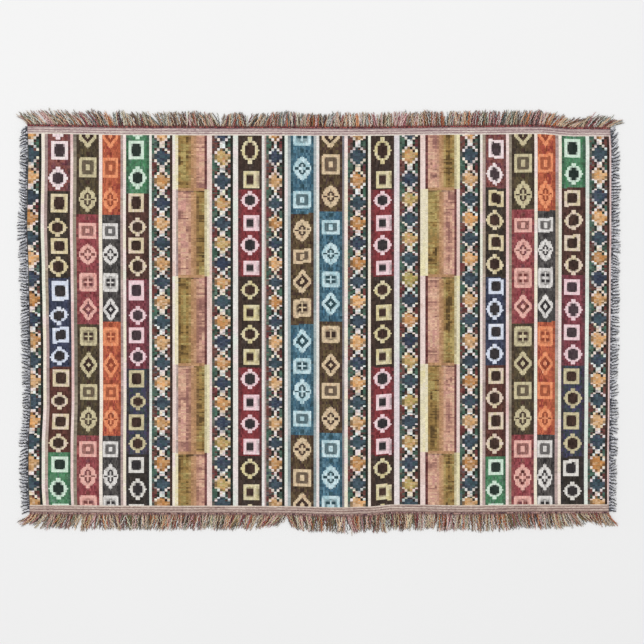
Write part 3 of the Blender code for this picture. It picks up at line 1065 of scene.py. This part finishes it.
@dataclass
class WovenCloth:
    """The cloth: one thin woven sheet with its charted stripes and a ribbed heading at both ends.

    The maps are the parts of the bake map that hold the face, the underside and the rim. drift_or_pair,
    pair_or_cell and those that end in below are the weights of two things that are mixed.
    """

    name: str = "throw_cloth"
    heading_cells: int = 4 * RIB_COUNT
    selvedge_share: float = 0.55
    top_map: tuple[float, float] = (0.338, 0.998)
    under_map: tuple[float, float] = (0.002, 0.318)
    rim_map: tuple[float, float] = (0.322, 0.334)
    map_margin: float = 0.001
    seed: int = 5
    near_seed: int = 8
    far_seed: int = 9
    drift_size: tuple[float, float] = (7, 2.5)
    drift_or_pair: tuple[float, float] = (0.55, 0.45)
    pair_or_cell: tuple[float, float] = (0.8, 0.4)
    slub_share: float = 0.05
    slub_depth: float = 1.6
    figure_below: tuple[float, float] = (0.75, 0.25)
    plain_below: tuple[float, float] = (0.6, 0.4)
    ground_below: tuple[float, float] = (0.7, 0.3)
    rib_drift_size: tuple[float, float] = (2, 9)
    rib_drift: float = 0.3
    rib_stray: float = 0.10
    rib_light: float = 0.8
    shift: np.ndarray = field(default_factory=lambda: np.zeros(2))

    def column_shares(self) -> np.ndarray:
        """The share of the width at each edge of the columns."""
        edges = np.cumsum([0.0, *(width for stripe in STRIPES for width in stripe.widths())])
        return edges / edges[-1]

    def row_shares(self) -> np.ndarray:
        """The share of the length at each edge of the rows, from the near end."""
        heading = np.linspace(0, HEADING_WIDTH, self.heading_cells + 1)
        middle = np.linspace(HEADING_WIDTH, CLOTH_LENGTH - HEADING_WIDTH, CHART_ROWS + 1)[1:-1]
        return np.concatenate([heading, middle, CLOTH_LENGTH - heading[::-1]]) / CLOTH_LENGTH

    def lift(self, s: np.ndarray, t: np.ndarray) -> np.ndarray:
        """How high the cloth's underside is at shares across and along it."""
        across, along = s * CLOTH_WIDTH, t * CLOTH_LENGTH
        sides = (
            (FAR_RIPPLES, across, CLOTH_WIDTH, CLOTH_LENGTH - along),
            (NEAR_RIPPLES, across, CLOTH_WIDTH, along),
            (LEFT_RIPPLES, along, CLOTH_LENGTH, across),
            (RIGHT_RIPPLES, along, CLOTH_LENGTH, CLOTH_WIDTH - across),
        )
        total = np.zeros(np.broadcast(s, t).shape)
        for table, place, length, inward in sides:
            for share, half, reach, height in table:
                total = total + height * hump((place - share * length) / half) * hump(inward / reach)
        return total

    def under_side(self, s: np.ndarray, t: np.ndarray) -> np.ndarray:
        """The places of the cloth's underside at shares across and along it."""
        left = (1 - s) ** SIDE_FADE * eased(LEFT_EDGE, t)
        right = s ** SIDE_FADE * eased(RIGHT_EDGE, t)
        x = (s - 0.5) * CLOTH_WIDTH - left + right + self.shift[0]
        y = (t - 0.5) * CLOTH_LENGTH - (1 - t) * eased(NEAR_EDGE, s) + t * eased(FAR_EDGE, s) + self.shift[1]
        return np.stack([x, y, self.lift(s, t)], axis=-1)

    def thickness(self, s: np.ndarray, t: np.ndarray) -> np.ndarray:
        """How thick the cloth is at shares across and along it."""
        distance = np.minimum(t, 1 - t) * CLOTH_LENGTH
        ribs = HEADING_THICK + RIB_HEIGHT * np.sin(math.pi * RIB_COUNT * distance / HEADING_WIDTH) ** 2
        thick = np.where(distance < HEADING_WIDTH + 1e-6, ribs, CLOTH_THICK)
        return thick * np.where((s <= 0) | (s >= 1), self.selvedge_share, 1.0)

    def settle(self) -> None:
        """Moves the cloth's plan so that it lies where the frame's own cloth does."""
        edge = np.linspace(0, 1, OUTLINE_STEPS)
        ends = [self.under_side(edge, np.full_like(edge, t)) for t in (0.0, 1.0)]
        sides = [self.under_side(np.full_like(edge, s), edge) for s in (0.0, 1.0)]
        outline = np.concatenate(ends + sides)
        low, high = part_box("woven_cloth")
        middle = (np.array(low)[:2] + np.array(high)[:2]) / 2
        self.shift = self.shift + middle - (outline.min(axis=0)[:2] + outline.max(axis=0)[:2]) / 2

    def straight_rows(self) -> np.ndarray:
        """Which chart row each cell of the field shows, from the far end, so that the rows stay straight.

        The cloth's ends wander a little, and its figures don't follow them.
        """
        s = self.column_shares()
        middle = ((s[1:] + s[:-1]) / 2)[None, :]
        row = np.arange(CHART_ROWS)[:, None]
        pitch = (CLOTH_LENGTH - 2 * HEADING_WIDTH) / CHART_ROWS
        t = 1 - (HEADING_WIDTH + (row + 0.5) * pitch) / CLOTH_LENGTH
        raised = t * eased(FAR_EDGE, middle) - (1 - t) * eased(NEAR_EDGE, middle)
        return np.clip(np.rint(row - raised / pitch).astype(int), 0, CHART_ROWS - 1)

    def laid_straight(self, areas: list[ChartArea], part: str) -> np.ndarray:
        """One part of all the stripes' cells side by side, with straight rows, from the near end."""
        whole = np.concatenate([getattr(area, part) for area in areas], axis=1)
        return np.take_along_axis(whole, self.straight_rows(), axis=0)[::-1]

    def chart(self) -> tuple[np.ndarray, np.ndarray]:
        """Works out the colours of the field's cells.

        Each pick is two rows high, so most of what strays does so in pairs of rows. A slub is a darker pair.

        Returns:
            Linear colours for the face and for the underside, with rows from the near end.
        """
        rng = np.random.default_rng(self.seed)
        areas = [stripe.chart(rng) for stripe in STRIPES]
        under, over, share, shade = (
            self.laid_straight(areas, part) for part in ("under", "over", "share", "shade")
        )
        rows, columns = under.shape
        half = (rows // 2 + 1, columns)
        drift = soft_noise(rng, rows, columns, *self.drift_size)
        chosen = mixed(drift, in_pairs(rng.random(half), rows), self.drift_or_pair)
        chosen = np.where(np.isnan(shade), np.clip(chosen, 0, 1), shade)
        light = in_pairs(rng.normal(0, 1, half), rows)
        light = mixed(light, rng.normal(0, 1, (rows, columns)), self.pair_or_cell)
        light = light - self.slub_depth * in_pairs(rng.random(half) < self.slub_share, rows)
        ground = self.dye(under, chosen, light)
        figure = self.dye(over, chosen, light)
        face = ground + (figure - ground) * share[..., None]
        plain = mixed(face, face.mean(axis=(0, 1)), self.plain_below)
        turned = mixed(ground, mixed(figure, ground, self.figure_below), self.ground_below)
        return face, np.where((share == 0)[..., None], plain, turned)

    def dye(self, yarn: np.ndarray, shade: np.ndarray, light: np.ndarray) -> np.ndarray:
        """The colours of cells.

        Args:
            yarn: each cell's yarn number.
            shade: where between the yarn's first and last shade it is.
            light: how much lighter or darker than that, in steps of the yarn's unevenness.

        Returns:
            Linear colours.
        """
        most = max(len(made.shades.split()) for made in YARNS.values())
        table = np.zeros((len(YARNS), most, 3))
        count = np.zeros(len(YARNS))
        uneven = np.zeros(len(YARNS))
        for number, made in enumerate(YARNS.values()):
            shades = linear_rows(made.shades)
            count[number], uneven[number] = len(shades), made.unevenness
            for place, colour in enumerate(shades):
                table[number, place:] = colour
        spot = shade * (count[yarn] - 1)
        low = np.minimum(spot.astype(int), most - 2)
        part = (spot - low)[..., None]
        colours = table[yarn, low] * (1 - part) + table[yarn, low + 1] * part
        stray = uneven[yarn] * np.clip(light, -MOST_STEPS, MOST_STEPS)
        return np.clip(colours * (1 + stray)[..., None], *YARN_LIGHT)

    def heading(self, yarn: str, columns: int, seed: int) -> np.ndarray:
        """The colours of one heading's cells, with rows from the cloth's end inwards."""
        rng = np.random.default_rng(seed)
        size = (self.heading_cells, columns)
        lines = np.array(HEADING_LINES)[:, None]
        drift = self.rib_drift * soft_noise(rng, *size, *self.rib_drift_size) - self.rib_drift / 2
        shade = np.clip(lines + drift + rng.normal(0, self.rib_stray, size), 0, 1)
        return self.dye(np.full(size, YARN_NUMBER[yarn]), shade, rng.normal(0, self.rib_light, size))

    def join_below(self, made: bmesh.types.BMesh) -> None:
        """Joins the cells of the slab's underside, lengthwise, which needs fewer than the face."""
        spare = [
            edge for edge in made.edges
            if all(vert.co.z < 0.5 for vert in edge.verts)
            and round(edge.verts[0].co.y) == round(edge.verts[1].co.y)
            and round(edge.verts[0].co.y) % UNDER_ROWS
        ]
        bmesh.ops.dissolve_edges(made, edges=spare, use_verts=True, use_face_split=False)

    def cell_colours(self, low: np.ndarray, below: np.ndarray) -> np.ndarray:
        """The colour of each face of the slab.

        Args:
            low: the lowest of each face's corner numbers.
            below: whether each face is on the underside.

        Returns:
            Linear colours.
        """
        columns = len(self.column_shares()) - 1
        near = self.heading("near ribbing", columns, self.near_seed)
        far = self.heading("ribbing", columns, self.far_seed)[::-1]
        top, back = (np.concatenate([near, field_part, far]) for field_part in self.chart())
        row, column = np.minimum(low[:, 1], len(top) - 1), np.minimum(low[:, 0], columns - 1)
        return np.where(below[:, None], back[row, column], top[row, column])

    def bake_places(self, corner: np.ndarray, low: np.ndarray, high: np.ndarray) -> np.ndarray:
        """Unfolds the slab: the face, the underside and the rim each get a part of the bake map.

        Args:
            corner: the numbers of each face corner.
            low: the lowest numbers of its face.
            high: the highest numbers of its face.

        Returns:
            A place in the map for each face corner.
        """
        share_x, share_y = self.column_shares()[corner[:, 0]], self.row_shares()[corner[:, 1]]
        on_top, below = low[:, 2] == 1, high[:, 2] == 0
        end_wall = low[:, 1] == high[:, 1]
        end_v = np.where(corner[:, 1] > 0, FAR_WALL, NEAR_WALL) + END_WALL_SIZE * corner[:, 2]
        side_v = np.where(corner[:, 0] > 0, RIGHT_WALL, LEFT_WALL) + SIDE_WALL_SIZE * corner[:, 2]
        v_top, v_under, v_rim = (
            first + part * (last - first) for (first, last), part in (
                (self.top_map, share_y), (self.under_map, share_y),
                (self.rim_map, np.where(end_wall, end_v, side_v)),
            )
        )
        u = np.where(on_top | below | end_wall, share_x, share_y)
        v = np.where(on_top, v_top, np.where(below, v_under, v_rim))
        return np.stack([self.map_margin + (1 - 2 * self.map_margin) * u, v], axis=-1)

    def build(self) -> bpy.types.Object:
        """Builds the cloth.

        Returns:
            Its object, coloured, mapped and dressed.
        """
        self.settle()
        s, t = self.column_shares(), self.row_shares()
        made = numbered_slab(len(s) - 1, len(t) - 1)
        self.join_below(made)
        mesh = as_mesh(self.name, made)
        numbers = corner_numbers(mesh)
        vertex, face, start = loop_facts(mesh)
        corner = numbers[vertex]
        low = np.minimum.reduceat(corner, start, axis=0)
        high = np.maximum.reduceat(corner, start, axis=0)
        set_corner_colours(mesh, self.cell_colours(low, high[:, 2] == 0)[face])
        set_map(mesh, BAKE_MAP, self.bake_places(corner, low[face], high[face]))
        across, along = s[numbers[:, 0]], t[numbers[:, 1]]
        places = self.under_side(across, along)
        places[:, 2] += numbers[:, 2] * self.thickness(across, along)
        set_places(mesh, places)
        return as_object(self.name, mesh, FiguredWeave().material())


class Side(Enum):
    """The edges that carry a fringe, as the way out from the cloth."""

    FAR = (0, 1)
    NEAR = (0, -1)
    LEFT = (-1, 0)
    RIGHT = (1, 0)


# Each strand of the fringe is two plies, twisted round each other.
PLIES = 2

# The fringe's families of yarns, each a yarn's own colour in four shades from dark to pale. The strands in
# the darker shades lie lowest and the pale ones on top, so the darkening is painted shade among the strands,
# and the palest shade is partly a painted highlight.
FRINGE_YARNS_AND_PAINTED_SHADE = {
    "rust": "#5A3A2E #984E3C #BC704C #E0C0A0",
    "orange": "#6A442C #B46A40 #DA8A54 #EACAA8",
    "teal": "#46504E #667472 #8A9690 #CCD0C8",
    "rose": "#5C3438 #9A5058 #BC7A80 #E8C8C4",
    "sage": "#4E5040 #74785E #949880 #DAD6BE",
    "brown": "#4A3A30 #70584A #94765E #DCC6AA",
    "maroon": "#44262A #74383E #9C5054 #DCB0A8",
    "cream": "#6E6054 #B09E8A #D8C8B4 #F0E8DC",
    "gold": "#544A34 #80704C #A89464 #E0D0AC",
}
FAR_YARNS = "rust brown orange teal maroon rose brown cream sage"
NEAR_YARNS = "brown maroon sage rose orange cream rust gold brown"

# The weft's two dark yarns and its two pale ones.
WEFT_YARNS = "#3A3C42 #54565E #D2D4DC #ECECF2"

# The knots along the edges, and the worn tips of the strands.
FAR_ROOTS = "#5A3038 #8A4248 #A05450 #6A4448 #B06A64 #70504A"
NEAR_ROOTS = "#B09088 #9A7A78 #5A4048 #A88478 #7A5A58"
WEFT_ROOTS = "#3A3D44 #8A8A90 #C8C8CE #55575E"
WORN_TIP = "#EADFD2"

# The columns of the grid that one strand takes: three sides, and a gap beside them.
STRAND_COLUMNS = 4
STRAND_SIDES = 3

# The strip's knots, which repeat every three columns: the least of their light and how far it strays, the
# weights of a knot's mean height and of its wave, and of the strip's flat part and of its bulge. The bulge is
# the part of a half wave that starts at the first share and runs for the second.
KNOT_COLUMNS = 3
KNOT_LIGHT = (0.75, 0.5)
KNOT_HEIGHT = (0.72, 0.28)
STRIP_HEIGHT = (0.30, 0.70)
KNOT_ARC = (0.12, 0.76)

# A strand's height follows the same kind of arc.
STRAND_ARC = (0.12, 0.85)

# The bake map of a fringe: the strip's two layers lie at the bottom, this high each, and the strands fill the
# cells of a square grid above it, with a margin at the sides and the ends of each cell.
STRIP_MAP = 0.004
STRANDS_FROM = 0.01
CELL_SIDE = 0.08
CELL_END = 0.06

# Vertices that are closer than this are one.
WELD = 1e-6


def strand_cells(strand: np.ndarray, count: int, turn: np.ndarray, along: np.ndarray) -> np.ndarray:
    """The bake map's places of the strands.

    Args:
        strand: the number of each vertex's strand.
        count: how many strands there are.
        turn: the number of its side of the strand.
        along: how far along the strand it is, from 0 to 1.

    Returns:
        The places, one for each vertex.
    """
    side = math.ceil(math.sqrt(count))
    cell = 1 / side
    u = (strand % side + CELL_SIDE + (1 - 2 * CELL_SIDE) * turn / STRAND_SIDES) * cell
    v = STRANDS_FROM + (1 - STRANDS_FROM) * (strand // side + CELL_END + (1 - 2 * CELL_END) * along) * cell
    return np.stack([u, v], axis=-1)


@dataclass
class Fringe:
    """A fringe on one edge of the cloth: a strip of knots, and the loose strands that grow from it.

    A range is the least and the most of a random draw, and a jitter is a spread. A lock's yarns are of one of
    the families, apart from the mixed share of its strands.
    """

    name: str
    side: Side
    cloth: WovenCloth
    lie: tuple[tuple[float, float, float], ...]
    roots: str
    seed: int
    families: str = ""
    yarn_name: str = "loose warp yarn"
    locks: int = 88
    strands: int = 14
    length: float = 0.0385
    thick: tuple[float, float] = (0.00050, 0.00085)
    taper: float = 0.25
    rings: int = 12
    root_out: float = 0.45
    crimp: float = 0.0013
    crimp_period: float = 0.0095
    crimp_range: tuple[float, float] = (0.3, 1.4)
    period_range: tuple[float, float] = (0.7, 1.3)
    gather: float = 0.04
    aside_jitter: float = 0.04
    lean_jitter: float = 9.0
    lock_lean_jitter: float = 4.0
    length_jitter: float = 0.09
    length_range: tuple[float, float] = (-1.6, 0.6)
    lock_length_jitter: float = 0.05
    short_share: float = 0.15
    short_lean: float = 0.8
    short_range: tuple[float, float] = (0.45, 0.85)
    top_height: float = 0.0034
    top_share: float = 0.8
    depth_and_stray: tuple[float, float] = (0.7, 0.3)
    lift: float = 0.0004
    # The share of strands in each shade of their family, from dark to pale; the darker shades lie lower, as
    # painted shade.
    depths: tuple[float, ...] = (0.34, 0.26, 0.18, 0.22)
    mixed_share: float = 0.7
    light_range: tuple[float, float] = (0.85, 1.12)
    ply_twist: float = 0.012
    ply_apart: float = 0.00055
    ply_map: float = 0.004
    root_tint: float = 0.7
    root_reach: float = 0.2
    worn_tint: float = 0.25
    worn_reach: float = 0.3
    worn_start: float = 2.3
    knots: int = 6
    strip_rows: int = 4

    def edge_point(self, share: np.ndarray) -> np.ndarray:
        """The places of the cloth's edge on this side, at shares along it."""
        out_x, out_y = self.side.value
        fixed = np.full(np.shape(share), (1 + out_x + out_y) / 2)
        return self.cloth.under_side(fixed, share) if out_x else self.cloth.under_side(share, fixed)

    def edge_length(self) -> float:
        """How long the edge is."""
        return CLOTH_LENGTH if self.side.value[0] else CLOTH_WIDTH

    def build_strip(self) -> bpy.types.Mesh:
        """The strip beside the cloth's edge, with a few knots for every lock."""
        columns, rows = self.locks * self.knots, self.strip_rows
        mesh = as_mesh(self.name + "_strip", numbered_slab(columns, rows))
        numbers = corner_numbers(mesh)
        vertex, face, start = loop_facts(mesh)
        rng = np.random.default_rng(self.seed + 100)
        dark = linear_rows(self.roots)
        knot = rng.integers(0, len(dark), columns)
        low = np.minimum.reduceat(numbers[vertex], start, axis=0)
        light = KNOT_LIGHT[0] + KNOT_LIGHT[1] * rng.random((len(start), 1))
        colours = dark[knot[np.minimum(low[:, 0], columns - 1)]] * light
        set_corner_colours(mesh, colours[face])
        u, v = numbers[vertex, 0] / columns, numbers[vertex, 1] / rows
        level = np.where(numbers[vertex, 2] == 1, STRIP_MAP, 0.0)
        set_map(mesh, BAKE_MAP, np.stack([u, STRIP_MAP * v + level], axis=-1))
        set_map(mesh, PLY_MAP, np.stack([numbers[vertex, 0] * 0.5, v * 2], axis=-1))
        across = numbers[:, 1] / rows
        place = self.edge_point(numbers[:, 0] / columns)
        knots = KNOT_HEIGHT[0] + KNOT_HEIGHT[1] * np.cos(numbers[:, 0] * math.pi * 2 / KNOT_COLUMNS)
        first, reach = KNOT_ARC
        bulge = STRIP_HEIGHT[0] + STRIP_HEIGHT[1] * np.sin(math.pi * (first + reach * across)) * knots
        for axis, outwards in enumerate(self.side.value):
            place[:, axis] += outwards * (PART_GAP + across * STRIP_WIDTH)
        place[:, 2] += numbers[:, 2] * STRIP_THICK * bulge
        set_places(mesh, place)
        if self.side in (Side.NEAR, Side.RIGHT):
            mesh.flip_normals()
        return mesh

    def strand_lengths(
        self, rng: np.random.Generator, lock: np.ndarray, short: np.ndarray, share: np.ndarray
    ) -> np.ndarray:
        """Picks how long each strand is.

        Args:
            rng: the source of random numbers.
            lock: each strand's lock.
            short: whether it is one of the short ones.
            share: the length that the lie gives it, as a share of the full one.

        Returns:
            The lengths in metres.
        """
        full = self.length * share * (1 + rng.normal(0, self.lock_length_jitter, self.locks)[lock])
        full = full * (1 + self.length_jitter * rng.uniform(*self.length_range, len(lock)))
        return full * np.where(short, rng.uniform(*self.short_range, len(lock)), 1.0)

    def strand_paths(
        self, rng: np.random.Generator, depth: np.ndarray
    ) -> tuple[np.ndarray, np.ndarray, np.ndarray]:
        """Lays the strands out.

        Args:
            rng: the source of random numbers.
            depth: how high each strand lies among the others, from 0 to 1.

        Returns:
            The middle of each ring of each ply of each strand, the direction across it, and its thickness.
        """
        count = self.locks * self.strands
        pitch = self.edge_length() / self.locks
        lock = np.repeat(np.arange(self.locks), self.strands)
        within = (np.tile(np.arange(self.strands), self.locks) + 0.5) / self.strands - 0.5
        within = within + rng.uniform(-self.aside_jitter, self.aside_jitter, count)
        short = rng.random(count) < self.short_share
        centre = (lock + 0.5) / self.locks
        shares, degrees, lengths = np.array(self.lie).T
        lean = np.interp(centre, shares, degrees) + rng.normal(0, self.lock_lean_jitter, self.locks)[lock]
        lean = lean * np.where(short, self.short_lean, 1.0) + rng.normal(0, self.lean_jitter, count)
        angle = np.radians(lean)
        full = self.strand_lengths(rng, lock, short, np.interp(centre, shares, lengths))
        along = np.linspace(0, 1, self.rings + 1)[None, :]
        reach = full[:, None] * along
        bend = along ** (math.log(MIDDLE_LEAN) / math.log(MIDDLE_OUT))
        waves = full / self.crimp_period * rng.uniform(*self.period_range, count)
        turns = 2 * math.pi * waves[:, None] * along
        phase = rng.uniform(0, 2 * math.pi, count)[:, None]
        sway = self.crimp * rng.uniform(*self.crimp_range, count)[:, None] * np.minimum(1, along * 4) * (
            np.sin(turns + phase) + 0.4 * np.sin(1.7 * turns + 2 * phase)
        )
        drawn = within[:, None] * pitch * (1 - self.gather * along)
        shift = drawn + full[:, None] * np.sin(angle)[:, None] * bend + sway
        twist = 2 * math.pi * reach / self.ply_twist + phase
        out = PART_GAP + STRIP_WIDTH * self.root_out + reach * np.cos(angle)[:, None]
        root = self.edge_point(centre)
        thick = rng.uniform(*self.thick, count)[:, None] * (1 - self.taper * along ** 3)
        level = np.clip(mixed(depth, rng.random(count), self.depth_and_stray), 0, 1)[:, None]
        first, arc = STRAND_ARC
        height = thick + (
            level * self.top_height * np.sin(math.pi * np.clip(along * arc + first, 0, 1)) * self.top_share
        )
        height = height + root[:, 2][:, None] * (1 - along) ** 2
        height = height + self.lift * np.sin(turns + 2 * phase) ** 2
        shift, height, out, thick, root, twist = (
            np.repeat(part, PLIES, axis=0) for part in (shift, height, out, thick, root, twist)
        )
        twist = twist + math.pi * (np.arange(len(twist)) % PLIES)[:, None]
        shift = shift + self.ply_apart * np.cos(twist)
        height = height + self.ply_apart * (1 + np.sin(twist))
        out_x, out_y = self.side.value
        x = root[:, 0][:, None] + out * out_x + shift * abs(out_y)
        y = root[:, 1][:, None] + out * out_y + shift * abs(out_x)
        middle = np.stack([x, y, np.maximum(height, thick)], axis=-1)
        forward = np.gradient(middle, axis=1)
        across = np.stack([-forward[..., 1], forward[..., 0], np.zeros_like(x)], axis=-1)
        across = across / np.linalg.norm(across, axis=-1, keepdims=True)
        thick = thick * np.where((along == 0) | (along == 1), 0, 1)
        return middle, across, thick

    def strand_colours(self, rng: np.random.Generator) -> tuple[np.ndarray, np.ndarray]:
        """Picks the yarn of each strand.

        Args:
            rng: the source of random numbers.

        Returns:
            Linear colours, with painted shade on the lower strands, and how high each strand lies among the
            others.
        """
        count = self.locks * self.strands
        table = np.array([linear_rows(FRINGE_YARNS_AND_PAINTED_SHADE[name]) for name in self.families.split()])
        own = rng.integers(0, len(table), self.locks)[np.repeat(np.arange(self.locks), self.strands)]
        family = np.where(rng.random(count) < self.mixed_share, rng.integers(0, len(table), count), own)
        # A strand's shade in its family also sets how low it lies: the dark shades below are painted shade,
        # and the pale ones on top are partly a painted highlight.
        depth = rng.choice(table.shape[1], count, p=self.depths)
        return table[family, depth] * rng.uniform(*self.light_range, (count, 1)), depth / (table.shape[1] - 1)

    def build_strands(self) -> bpy.types.Mesh:
        """The loose strands, each ply a closed three-sided yarn."""
        rng = np.random.default_rng(self.seed)
        count = self.locks * self.strands * PLIES
        made = numbered_grid(STRAND_COLUMNS * count, self.rings)
        gaps = [
            face for face in made.faces
            if int(face.calc_center_median().x) % STRAND_COLUMNS == STRAND_SIDES
        ]
        bmesh.ops.delete(made, geom=gaps, context="FACES")
        mesh = as_mesh(self.name + "_strands", made)
        numbers = corner_numbers(mesh)
        vertex, _, _ = loop_facts(mesh)
        strand = np.minimum(numbers[:, 0] // STRAND_COLUMNS, count - 1)
        turn, ring = numbers[:, 0] - STRAND_COLUMNS * strand, numbers[:, 1]
        colours, depth = self.strand_colours(rng)
        middle, across, thick = self.strand_paths(rng, depth)
        roots = linear_rows(self.roots)
        shades = roots[rng.integers(0, len(roots), count)]
        along = ring / self.rings
        rooted = np.clip(1 - along / self.root_reach, 0, 1)[:, None] * self.root_tint
        worn = np.clip(along / self.worn_reach - self.worn_start, 0, 1)[:, None] * self.worn_tint
        tinted = colours[strand // PLIES] * (1 - rooted) + shades[strand] * rooted
        tinted = tinted * (1 - worn) + linear(WORN_TIP) * worn
        set_corner_colours(mesh, tinted[vertex])
        set_map(mesh, BAKE_MAP, strand_cells(strand, count, turn, along)[vertex])
        twisted = np.stack([turn / STRAND_SIDES * 2, along * self.length / self.ply_map], axis=-1)
        set_map(mesh, PLY_MAP, twisted[vertex])
        angle = 2 * math.pi * (turn % STRAND_SIDES) / STRAND_SIDES
        place = middle[strand, ring] + thick[strand, ring][:, None] * (
            across[strand, ring] * np.cos(angle)[:, None] + np.array([0, 0, 1]) * np.sin(angle)[:, None]
        )
        set_places(mesh, place)
        closed = bmesh.new()
        closed.from_mesh(mesh)
        bmesh.ops.remove_doubles(closed, verts=closed.verts, dist=WELD)
        bmesh.ops.recalc_face_normals(closed, faces=closed.faces)
        closed.to_mesh(mesh)
        closed.free()
        return mesh

    def build(self) -> bpy.types.Object:
        """Builds the fringe.

        Returns:
            Its object, one mesh of strip and strands.
        """
        finish = LooseYarn(self.yarn_name).material()
        whole = as_object(self.name, self.build_strands(), finish)
        strip = as_object(self.name + "_strip", self.build_strip(), finish)
        with bpy.context.temp_override(active_object=whole, selected_editable_objects=[whole, strip]):
            bpy.ops.object.join()
        return whole


@dataclass
class SideFringe(Fringe):
    """The short fringe at a side: the weft's own yarns, dark and pale in turn."""

    yarn_name: str = "loose weft yarn"
    locks: int = 62
    strands: int = 4
    length: float = 0.0185
    thick: tuple[float, float] = (0.0007, 0.0010)
    rings: int = 10
    crimp: float = 0.0007
    lean_jitter: float = 8.0
    short_share: float = 0.1
    light_range: tuple[float, float] = (0.85, 1.05)
    ply_apart: float = 0.0007

    def strand_colours(self, rng: np.random.Generator) -> tuple[np.ndarray, np.ndarray]:
        """Picks the yarn of each strand.

        Args:
            rng: the source of random numbers.

        Returns:
            Linear colours, and how high each strand lies among the others.
        """
        count = self.locks * self.strands
        pick = 2 * (np.arange(count) % 2) + rng.integers(0, 2, count)
        return linear_rows(WEFT_YARNS)[pick] * rng.uniform(*self.light_range, (count, 1)), rng.random(count)


@dataclass
class Studio:
    """A pale floor, soft light from above and the camera straight over the throw."""

    floor_size: float = 6.0
    floor_drop: float = 0.0004
    floor_colour: str = "#EFEFEF"
    floor_light: tuple[float, float] = (0.985, 1.015)
    floor_clouds: float = 1.5
    floor_roughness: float = 0.9
    floor_gloss: float = 0.1
    camera_height: float = 3.440
    camera_aside: tuple[float, float] = (0.0050, -0.00124)
    lens: float = 85.0
    sensor: float = 36.0
    world_light: float = 0.70
    key_place: tuple[float, float, float] = (-1.2, 2.6, 7.0)
    key_size: float = 3.5
    key_watts: float = 210.0

    def build_floor(self) -> bpy.types.Object:
        """The floor."""
        made = bmesh.new()
        bmesh.ops.create_grid(made, x_segments=1, y_segments=1, size=self.floor_size)
        bmesh.ops.translate(made, vec=(0, 0, -self.floor_drop), verts=made.verts)
        material, tree, shader = new_material("matt white studio paint")
        place = add_node(tree, "ShaderNodeTexCoord").outputs["Object"]
        cloud = add_node(
            tree, "ShaderNodeTexNoise", values={"Scale": self.floor_clouds, "Detail": 2.0},
            links={"Vector": place},
        )
        light = add_node(
            tree, "ShaderNodeMapRange", values=dict(zip(("To Min", "To Max"), self.floor_light)),
            links={"Value": cloud.outputs["Fac"]},
        )
        colour = add_node(
            tree, "ShaderNodeHueSaturation", values={"Color": (*linear(self.floor_colour), 1)},
            links={"Value": light.outputs["Result"]},
        )
        tree.links.new(colour.outputs["Color"], shader.inputs["Base Color"])
        shader.inputs["Roughness"].default_value = self.floor_roughness
        shader.inputs["Specular IOR Level"].default_value = self.floor_gloss
        return as_object("studio_floor", as_mesh("studio_floor", made), material)

    def add_key_light(self) -> None:
        """Adds the square soft light that faces the throw."""
        lamp = bpy.data.lights.new("window light", "AREA")
        lamp.size = self.key_size
        lamp.energy = self.key_watts
        thing = bpy.data.objects.new("window light", lamp)
        thing.location = self.key_place
        thing.rotation_mode = "QUATERNION"
        thing.rotation_quaternion = (-Vector(self.key_place)).to_track_quat("-Z", "Y")
        bpy.context.scene.collection.objects.link(thing)

    def build(self) -> bpy.types.Object:
        """Builds the studio.

        Returns:
            The floor.
        """
        floor = self.build_floor()
        self.add_key_light()
        world = bpy.data.worlds.new("studio")
        world.use_nodes = True
        sky = world.node_tree.nodes["Background"]
        sky.inputs["Color"].default_value = (1, 1, 1, 1)
        sky.inputs["Strength"].default_value = self.world_light
        bpy.context.scene.world = world
        bpy.context.scene.view_settings.view_transform = "Standard"
        lens = bpy.data.cameras.new("camera")
        lens.lens = self.lens
        lens.sensor_width = self.sensor
        camera = bpy.data.objects.new("camera", lens)
        camera.location = (*self.camera_aside, self.camera_height)
        bpy.context.scene.collection.objects.link(camera)
        bpy.context.scene.camera = camera
        return floor


def fringes(cloth: WovenCloth) -> list[tuple[Fringe, str, str]]:
    """The four fringes, each with the node it stands for and its slot."""
    far = Fringe("far_fringe", Side.FAR, cloth, FAR_LIE, FAR_ROOTS, 21, FAR_YARNS)
    near = Fringe("near_fringe", Side.NEAR, cloth, NEAR_LIE, NEAR_ROOTS, 22, NEAR_YARNS)
    left = SideFringe("left_fringe", Side.LEFT, cloth, LEFT_LIE, WEFT_ROOTS, 23)
    right = SideFringe("right_fringe", Side.RIGHT, cloth, RIGHT_LIE, WEFT_ROOTS, 24)
    return [
        (far, "fringe_far", "end_fringe_yarn"), (near, "fringe_near", "end_fringe_yarn"),
        (left, "fringe_left", "side_fringe_yarn"), (right, "fringe_right", "side_fringe_yarn"),
    ]


def main() -> None:
    """Builds the throw and its studio, hangs each piece on the root body and hides the frame's part that it
    stands for.
    """
    logging.basicConfig(level=logging.INFO, format="%(message)s")
    floor = Studio().build()
    cloth = WovenCloth()
    laid = cloth.build()
    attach(laid, "root")
    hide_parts("woven_cloth")
    log.info("cloth: %d faces", len(laid.data.polygons))
    for fringe, node, slot in fringes(cloth):
        piece = fringe.build()
        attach(piece, "root")
        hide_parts(node)
        log.info("%s: %d faces", piece.name, len(piece.data.polygons))


if __name__ == "__main__":
    main()
